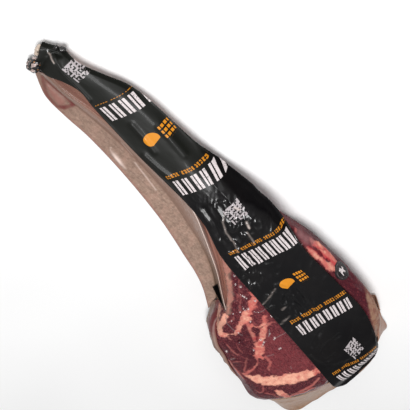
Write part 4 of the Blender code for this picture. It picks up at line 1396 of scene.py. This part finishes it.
def web_relief(points, column, last):
    """How far the web's ripples, its lens, its glare and its ridge rise, in millimetres."""
    x, over_ridge = points[:, 0], column - RIDGE_COLUMN
    ripple = rough(stretched(points, 5.0, 1.0), 8, 51) * 0.5 + rough(points, 3, 53) * 0.12
    ripple += creases(stretched(points, 16.0, 1.0), 6, 55) * 0.7 * ease(x, -200, -150)
    free = ease(column, 0, 6) * ease(np.abs(over_ridge), 0, 4)
    free *= np.where(over_ridge > 0, 0.45, 1.0) * ease(last - column, 1, 6)
    rise = ripple * free + 1.5 * ease(-line_distance(points, WEB_LENS), -3, 4)
    rise += 1.5 * bell(line_distance(points, WEB_GLARE), 1.5)
    return rise + ease(x, -120, -80) * bell(over_ridge, 1.3)


def web_bright(points, column):
    """Painted highlight along the ridge, beside it, on two hairs and on the glare."""
    x, over_ridge = points[:, 0], column - RIDGE_COLUMN
    bright = bell(over_ridge, np.where(over_ridge > 0, 3.2, 1.25)) * ease(x, -108, -84) * 0.95
    bright += np.max([line_bell(points, line, 0.7) for line in WEB_HAIRS], axis=0) * 0.45
    bright += bell(over_ridge - 9, 1.5) * ease(x, -70, -40) * ease(-x, -45, -20) * 0.35
    bright += bell(line_distance(points, WEB_GLARE), 1.4) * 0.9 * bell(x + 133, 9)
    return bright.clip(0, 1)


def web_juice(points):
    """Red juice at the bone's tip."""
    juice = bell(line_distance(points, WEB_JUICE_LOOP).clip(0), 2.2) * 0.56
    juice += bell(line_distance(points, WEB_JUICE_LINE).clip(0), 1.1) * 0.4
    return (juice + spots_strength(points, WEB_JUICE_SPOTS) * 0.15).clip(0, 1)


def web_shade(column, count):
    """Shade in the notch at the far end, up the tent as far as its ridge."""
    row = np.repeat(np.linspace(0, len(WEB_RIDGE) - 1, WEB_ROWS), count)
    past_foot = column - FLAT_COLUMNS
    up_tent = np.where(past_foot < 0, past_foot / FLAT_COLUMNS * 1.5, past_foot / (TENT_COLUMNS - 1))
    return ease(row, 8.5, 12) * ease(up_tent, -0.35, 0.1) * ease(RIDGE_COLUMN - column, 0.5, 3.5) * 0.75


class STEAK_OT_film_web(bpy.types.Operator):
    """Build the film beside the bone: flat on the table, up to a sharp ridge, and over the bone"""

    bl_idname = "steak.film_web"
    bl_label = "Film web"

    def execute(self, context):
        grid = web_grid()
        points = grid.reshape(-1, 3)
        count = grid.shape[1]
        column = np.tile(np.arange(count), WEB_ROWS)
        x = points[:, 0]
        points[:, 2] = np.maximum(points[:, 2] + web_relief(points, column, count), LOWEST_FILM)
        lens = ease(-line_distance(points, WEB_LENS), -1.5, 3)
        smooth = ease(column, FLAT_COLUMNS - 3, FLAT_COLUMNS + 3) * (column <= RIDGE_COLUMN)
        # The ridge, the hairs and the glare get a painted highlight, and the notch a painted shade
        tinted_sheet("flat_film", grid, look().film_tint, 0.25, (0.004, 0.09), "film_web",
                     smooth_strip=smooth, over_bone=ease(column, RIDGE_COLUMN - 2, RIDGE_COLUMN + 3),
                     bright=web_bright(points, column), juice=web_juice(points),
                     shade=web_shade(column, count),
                     pink=np.maximum(lens * 0.7, bell(column, 3.0) * 0.5),
                     tip=np.maximum(ease(-x, 165, 215), ease(-x, 70, 150) * 0.4),
                     black_print=notch_print(points) * ease(RIDGE_COLUMN - column, 1, 3))
        return {"FINISHED"}


class STEAK_OT_skirt_film(bpy.types.Operator):
    """Build the film down the meat's wall and in the notch beside the bone"""

    bl_idname = "steak.skirt_film"
    bl_label = "Skirt film"

    def execute(self, context):
        rows, columns = SKIRT_GRID
        top, middle, foot = (smooth_rows(line, rows) for line in (SKIRT_TOP, SKIRT_MIDDLE, SKIRT_FOOT))
        t = np.linspace(0, 1, columns)[None, :, None]
        bend = 2 * middle - (top + foot) / 2
        grid = top[:, None] * (1 - t) ** 2 + 2 * bend[:, None] * t * (1 - t) + foot[:, None] * t ** 2
        grid = Surface(cad("meat")).pull(grid.reshape(-1, 3), SKIRT_GAP).reshape(rows, columns, 3)
        grid = blur(grid, 6)
        points = grid.reshape(-1, 3)
        across = np.tile(np.linspace(0, 1, columns), rows)
        ripple = rough(points, 9, 91) * 0.8 + creases(stretched(points, 2.0, 1.0), 9, 93) * 1.2
        ripple *= ease(across, 0.0, 0.15) * ease(1 - across, 0, 0.1)
        points = points + grid_normals(grid).reshape(-1, 3) * ripple[:, None]
        points[:, 2] = np.maximum(points[:, 2], LOWEST_FILM)
        near_bone = ease(74 - points[:, 0], 0, 20) * ease(0.8 - across, 0, 0.3) * 0.8
        # A thin painted highlight runs along the skirt near its top edge
        tinted_sheet("skirt_film", points.reshape(rows, columns, 3), look().film_tint, 0.06, (0.02, 0.02),
                     smooth_strip=0.4, veined=0.3, tip=0.75,
                     over_bone=(1 - ease(across, 0.02, 0.2)) * 0.8,
                     bright=bell(across - 0.1, 0.04) * 0.25,
                     juice=np.maximum(bell(across - 0.14, 0.09) * 0.35, near_bone),
                     black_print=notch_print(points),
                     shade=(1 - ease(across, 0.05, 0.5)) * 0.6)
        return {"FINISHED"}


class STEAK_OT_face_film(bpy.types.Operator):
    """Build the clear film over the cut face, with its sharp little folds and painted glints"""

    bl_idname = "steak.face_film"
    bl_label = "Face film"

    def execute(self, context):
        rows, columns = FACE_GRID
        share = np.linspace(0, 1, columns)
        plan = strip(smooth_rows(FACE_NEAR, rows), smooth_rows(FACE_FAR, rows), share)
        raw = Surface(bpy.data.objects["meat_slab"]).heights(plan[::2, ::2], 44.0)
        coarse = np.maximum(blur(raw, 6), raw) + FACE_GAP
        for count in (columns, rows):
            every, second = np.arange(count), np.arange(0, count, 2)
            coarse = np.array([np.interp(every, second, line) for line in coarse]).T
        points = np.dstack([plan, blur(coarse, 2)]).reshape(-1, 3)
        level = points * LEVEL
        rise = np.max([line_bell(points, line, 0.7) for line in FILM_CREASES], axis=0) * 1.1
        busy = 0.15 + 0.6 * hump(points, *FACE_FOLDS)
        rise = np.maximum(rise, creases(level, 6, 95) ** 3 * busy)
        glint = spots_strength(points, [(x, y, reach * 1.3) for x, y, reach in FILM_GLINTS])
        points[:, 2] += rise + glint * 0.5 + rough(level, 9, 97, 2) * 0.25
        grid = points.reshape(rows, columns, 3)
        film = film_sheet("face_film", grid, FACE_FILM_THICKNESS, clear_film_material(), "clear_film")
        off_edge = ease(np.minimum(share, 1 - share), 0.0, 0.02)
        store(film, glint=glint, haze=np.clip(rise / 1.1, 0, 1).reshape(rows, columns) ** 3 * off_edge)
        return {"FINISHED"}


class STEAK_OT_end_film(bpy.types.Operator):
    """Build the clear film past the meat, with its two ears"""

    bl_idname = "steak.end_film"
    bl_label = "End film"

    def execute(self, context):
        rows, columns = END_GRID
        plan = strip(smooth_rows(HEM_INNER, rows), smooth_rows(HEM_OUTER, rows), np.linspace(0, 1, columns))
        height = blur(Surface(cad("film_end_hem")).heights(plan, 0.9), 8)
        points = np.dstack([plan, np.maximum(height, 0.8)]).reshape(-1, 3)
        level = points * LEVEL
        ripple = rough(level, 12, 61) * 0.7 + creases(level, 16, 63) * 0.9
        free = ease(np.tile(np.linspace(0, 1, columns), rows), 0.02, 0.2)
        points[:, 2] = np.maximum(points[:, 2] + ripple * free + 0.1, LOWEST_FILM)
        ear = ease(points[:, 1], 40, 60)
        blush = spots_strength(points, END_BLUSHES) * 0.5
        tinted_sheet("end_film", points.reshape(rows, columns, 3), look().end_tint, 0.12, (0.03, 0.008),
                     "film_end_hem", smooth_strip=0.3, veined=0.3 + 0.7 * ear, juice=blush,
                     pink=blush + ear * 0.25)
        return {"FINISHED"}


class STEAK_OT_label(bpy.types.Operator):
    """Build the round dark sticker on the fat edge"""

    bl_idname = "steak.label"
    bl_label = "Round sticker"

    def execute(self, context):
        low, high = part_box("round_sticker")
        meat = Surface(bpy.data.objects["meat_slab"])
        spot, normal, _, _ = meat.tree.find_nearest((Vector(low) + Vector(high)) / 2 / MM)
        normal = Vector((normal.x * 0.3, 0.8, 0.55)).normalized()
        side = Vector((0, 0, 1)).cross(normal).normalized()
        up = normal.cross(side)
        grid = np.empty((LABEL_RINGS + 1, LABEL_POINTS, 3))
        place = np.zeros(grid.shape)
        for ring, k in np.ndindex(*grid.shape[:2]):
            turn = 2 * math.pi * k / LABEL_POINTS
            a, b = math.cos(turn) * ring / LABEL_RINGS, math.sin(turn) * ring / LABEL_RINGS
            flat = spot + (side * a + up * b * 0.86) * LABEL_RADIUS
            hit = meat.tree.ray_cast(flat + normal * 12, -normal)[0] or flat
            grid[ring, k] = hit + normal * (LABEL_GAP if ring < LABEL_RINGS else LABEL_RIM_GAP)
            place[ring, k, :2] = a, b
        for _ in range(6):
            grid[1:-1] = (grid[:-2] + grid[2:] + np.roll(grid[1:-1], 1, 1) + np.roll(grid[1:-1], -1, 1)) / 4
        points = np.concatenate([grid, grid[::-1] - np.array(normal) * LABEL_THICKNESS]).reshape(-1, 3)
        faces = tube_faces(2 * len(grid), LABEL_POINTS)
        label = new_piece("round_label", points, faces, label_material(look()), "sticker", "round_sticker")
        store(label, label_place=np.concatenate([place, place[::-1]]))
        weld = bmesh.new()
        weld.from_mesh(label.data)
        bmesh.ops.remove_doubles(weld, verts=weld.verts, dist=0.00002)
        weld.to_mesh(label.data)
        weld.free()
        return {"FINISHED"}


def crumpled_roll(name, path, radii, seed, pale, material):
    """A pleated, dented roll of film along a path."""
    rows, count = ROLL_GRID
    centres = smooth_rows(path, rows)
    share = np.linspace(0, 1, rows)
    ends = np.minimum(ease(share, 0, 0.12), ease(1 - share, 0, 0.12))
    radius = np.interp(share, np.linspace(0, 1, len(radii)), radii) * (0.25 + 0.75 * ends)
    ahead = np.gradient(centres, axis=0)
    side = np.column_stack([-ahead[:, 1], ahead[:, 0], np.zeros(rows)])
    side /= np.linalg.norm(side, axis=1)[:, None]
    turn = np.linspace(0, 2 * np.pi, count, endpoint=False)[None, :, None]
    ring = radius[:, None, None] * (side[:, None] * np.cos(turn) + np.array([0, 0, 1.0]) * np.sin(turn))
    points = (centres[:, None] + ring).reshape(-1, 3)
    radius = np.repeat(radius, count)[:, None]
    dent = creases(points, 6.0, seed) * 1.5 + creases(points, 3.4, seed + 2) * 0.5 - 0.7
    points = points + ring.reshape(-1, 3) / radius * (dent[:, None] * radius / 4.5)
    points[:, 2] = np.maximum(points[:, 2], 0.3)
    faces = tube_faces(rows, count) + [range(count), range((rows - 1) * count, rows * count)]
    store(new_piece(name, points, faces, material, "black_film", "gathered_tail"), pale=pale)


class STEAK_OT_tail(bpy.types.Operator):
    """Build the gathered end of the bag at the bone's tip"""

    bl_idname = "steak.tail"
    bl_label = "Gathered tail"

    def execute(self, context):
        material = crumpled_material()
        for roll in TAIL_ROLLS:
            crumpled_roll(*roll, material)
        return {"FINISHED"}


class STEAK_OT_stage(bpy.types.Operator):
    """Build the pale table, the soft lights and the camera"""

    bl_idname = "steak.stage"
    bl_label = "Stage"

    def execute(self, context):
        scene = context.scene
        mesh = bpy.data.meshes.new("table")
        corners = ((-1, -1), (1, -1), (1, 1), (-1, 1))
        points = [(x * TABLE_HALF, y * TABLE_HALF, -TABLE_DROP) for x, y in corners]
        mesh.from_pydata(points, [], [(0, 1, 2, 3)])
        mesh.materials.append(floor_material(look()))
        table = bpy.data.objects.new("table", mesh)
        scene.collection.objects.link(table)
        for light in LIGHTS:
            self.add_light(scene, *light)
        scene.world = bpy.data.worlds.new("soft_room")
        scene.world.use_nodes = True
        background = scene.world.node_tree.nodes["Background"].inputs
        background["Color"].default_value = (1.0, 1.0, 1.0, 1.0)
        background["Strength"].default_value = ROOM_LIGHT
        scene.view_settings.view_transform = "Standard"
        self.add_camera(scene)
        return {"FINISHED"}

    def add_light(self, scene, name, place, size, power):
        """A round soft light that shines on the middle of the part."""
        data = bpy.data.lights.new(name, "AREA")
        data.shape = "DISK"
        data.size = size
        data.energy = power
        lamp = bpy.data.objects.new(name, data)
        lamp.location = place
        lamp.rotation_euler = (-Vector(place)).to_track_quat("-Z", "Y").to_euler()
        scene.collection.objects.link(lamp)

    def add_camera(self, scene):
        """Look down on the fat side, with the meat at the picture's foot."""
        heading, rise = math.radians(CAMERA_HEADING), math.radians(CAMERA_RISE)
        level = Vector((-math.sin(heading), math.cos(heading), 0.0))
        right = Vector((math.cos(heading), math.sin(heading), 0.0))
        back = level * math.cos(rise) + Vector((0, 0, math.sin(rise)))
        up = level * math.sin(rise) - Vector((0, 0, math.cos(rise)))
        data = bpy.data.cameras.new("camera")
        data.angle = math.radians(CAMERA_ANGLE)
        camera = bpy.data.objects.new("camera", data)
        place = Matrix((right, up, back)).transposed().to_4x4()
        place.translation = Vector(CAMERA_TARGET) + back * CAMERA_DISTANCE
        camera.matrix_world = place
        scene.collection.objects.link(camera)
        scene.camera = camera


OPERATORS = (STEAK_OT_meat, STEAK_OT_bone, STEAK_OT_printed_film, STEAK_OT_film_web, STEAK_OT_skirt_film,
             STEAK_OT_face_film, STEAK_OT_end_film, STEAK_OT_label, STEAK_OT_tail, STEAK_OT_stage)


class STEAK_PT_panel(bpy.types.Panel):
    """Lists the settings and the pieces of the pack"""

    bl_idname = "STEAK_PT_panel"
    bl_label = "Steak pack"
    bl_space_type = "VIEW_3D"
    bl_region_type = "UI"
    bl_category = "Steak pack"

    def draw(self, context):
        for name in SteakLook.__annotations__:
            self.layout.prop(context.scene.steak_look, name)
        for operator in OPERATORS:
            self.layout.operator(operator.bl_idname)


CLASSES = (SteakLook, *OPERATORS, STEAK_PT_panel)


def register():
    for item in CLASSES:
        bpy.utils.register_class(item)
    bpy.types.Scene.steak_look = bpy.props.PointerProperty(type=SteakLook)


def unregister():
    del bpy.types.Scene.steak_look
    for item in reversed(CLASSES):
        bpy.utils.unregister_class(item)


def main():
    register()
    bpy.ops.steak.stage()
    bpy.ops.steak.meat()
    bpy.ops.steak.bone()
    bpy.ops.steak.printed_film()
    bpy.ops.steak.film_web()
    bpy.ops.steak.skirt_film()
    bpy.ops.steak.face_film()
    bpy.ops.steak.end_film()
    bpy.ops.steak.label()
    bpy.ops.steak.tail()


if __name__ == "__main__":
    main()
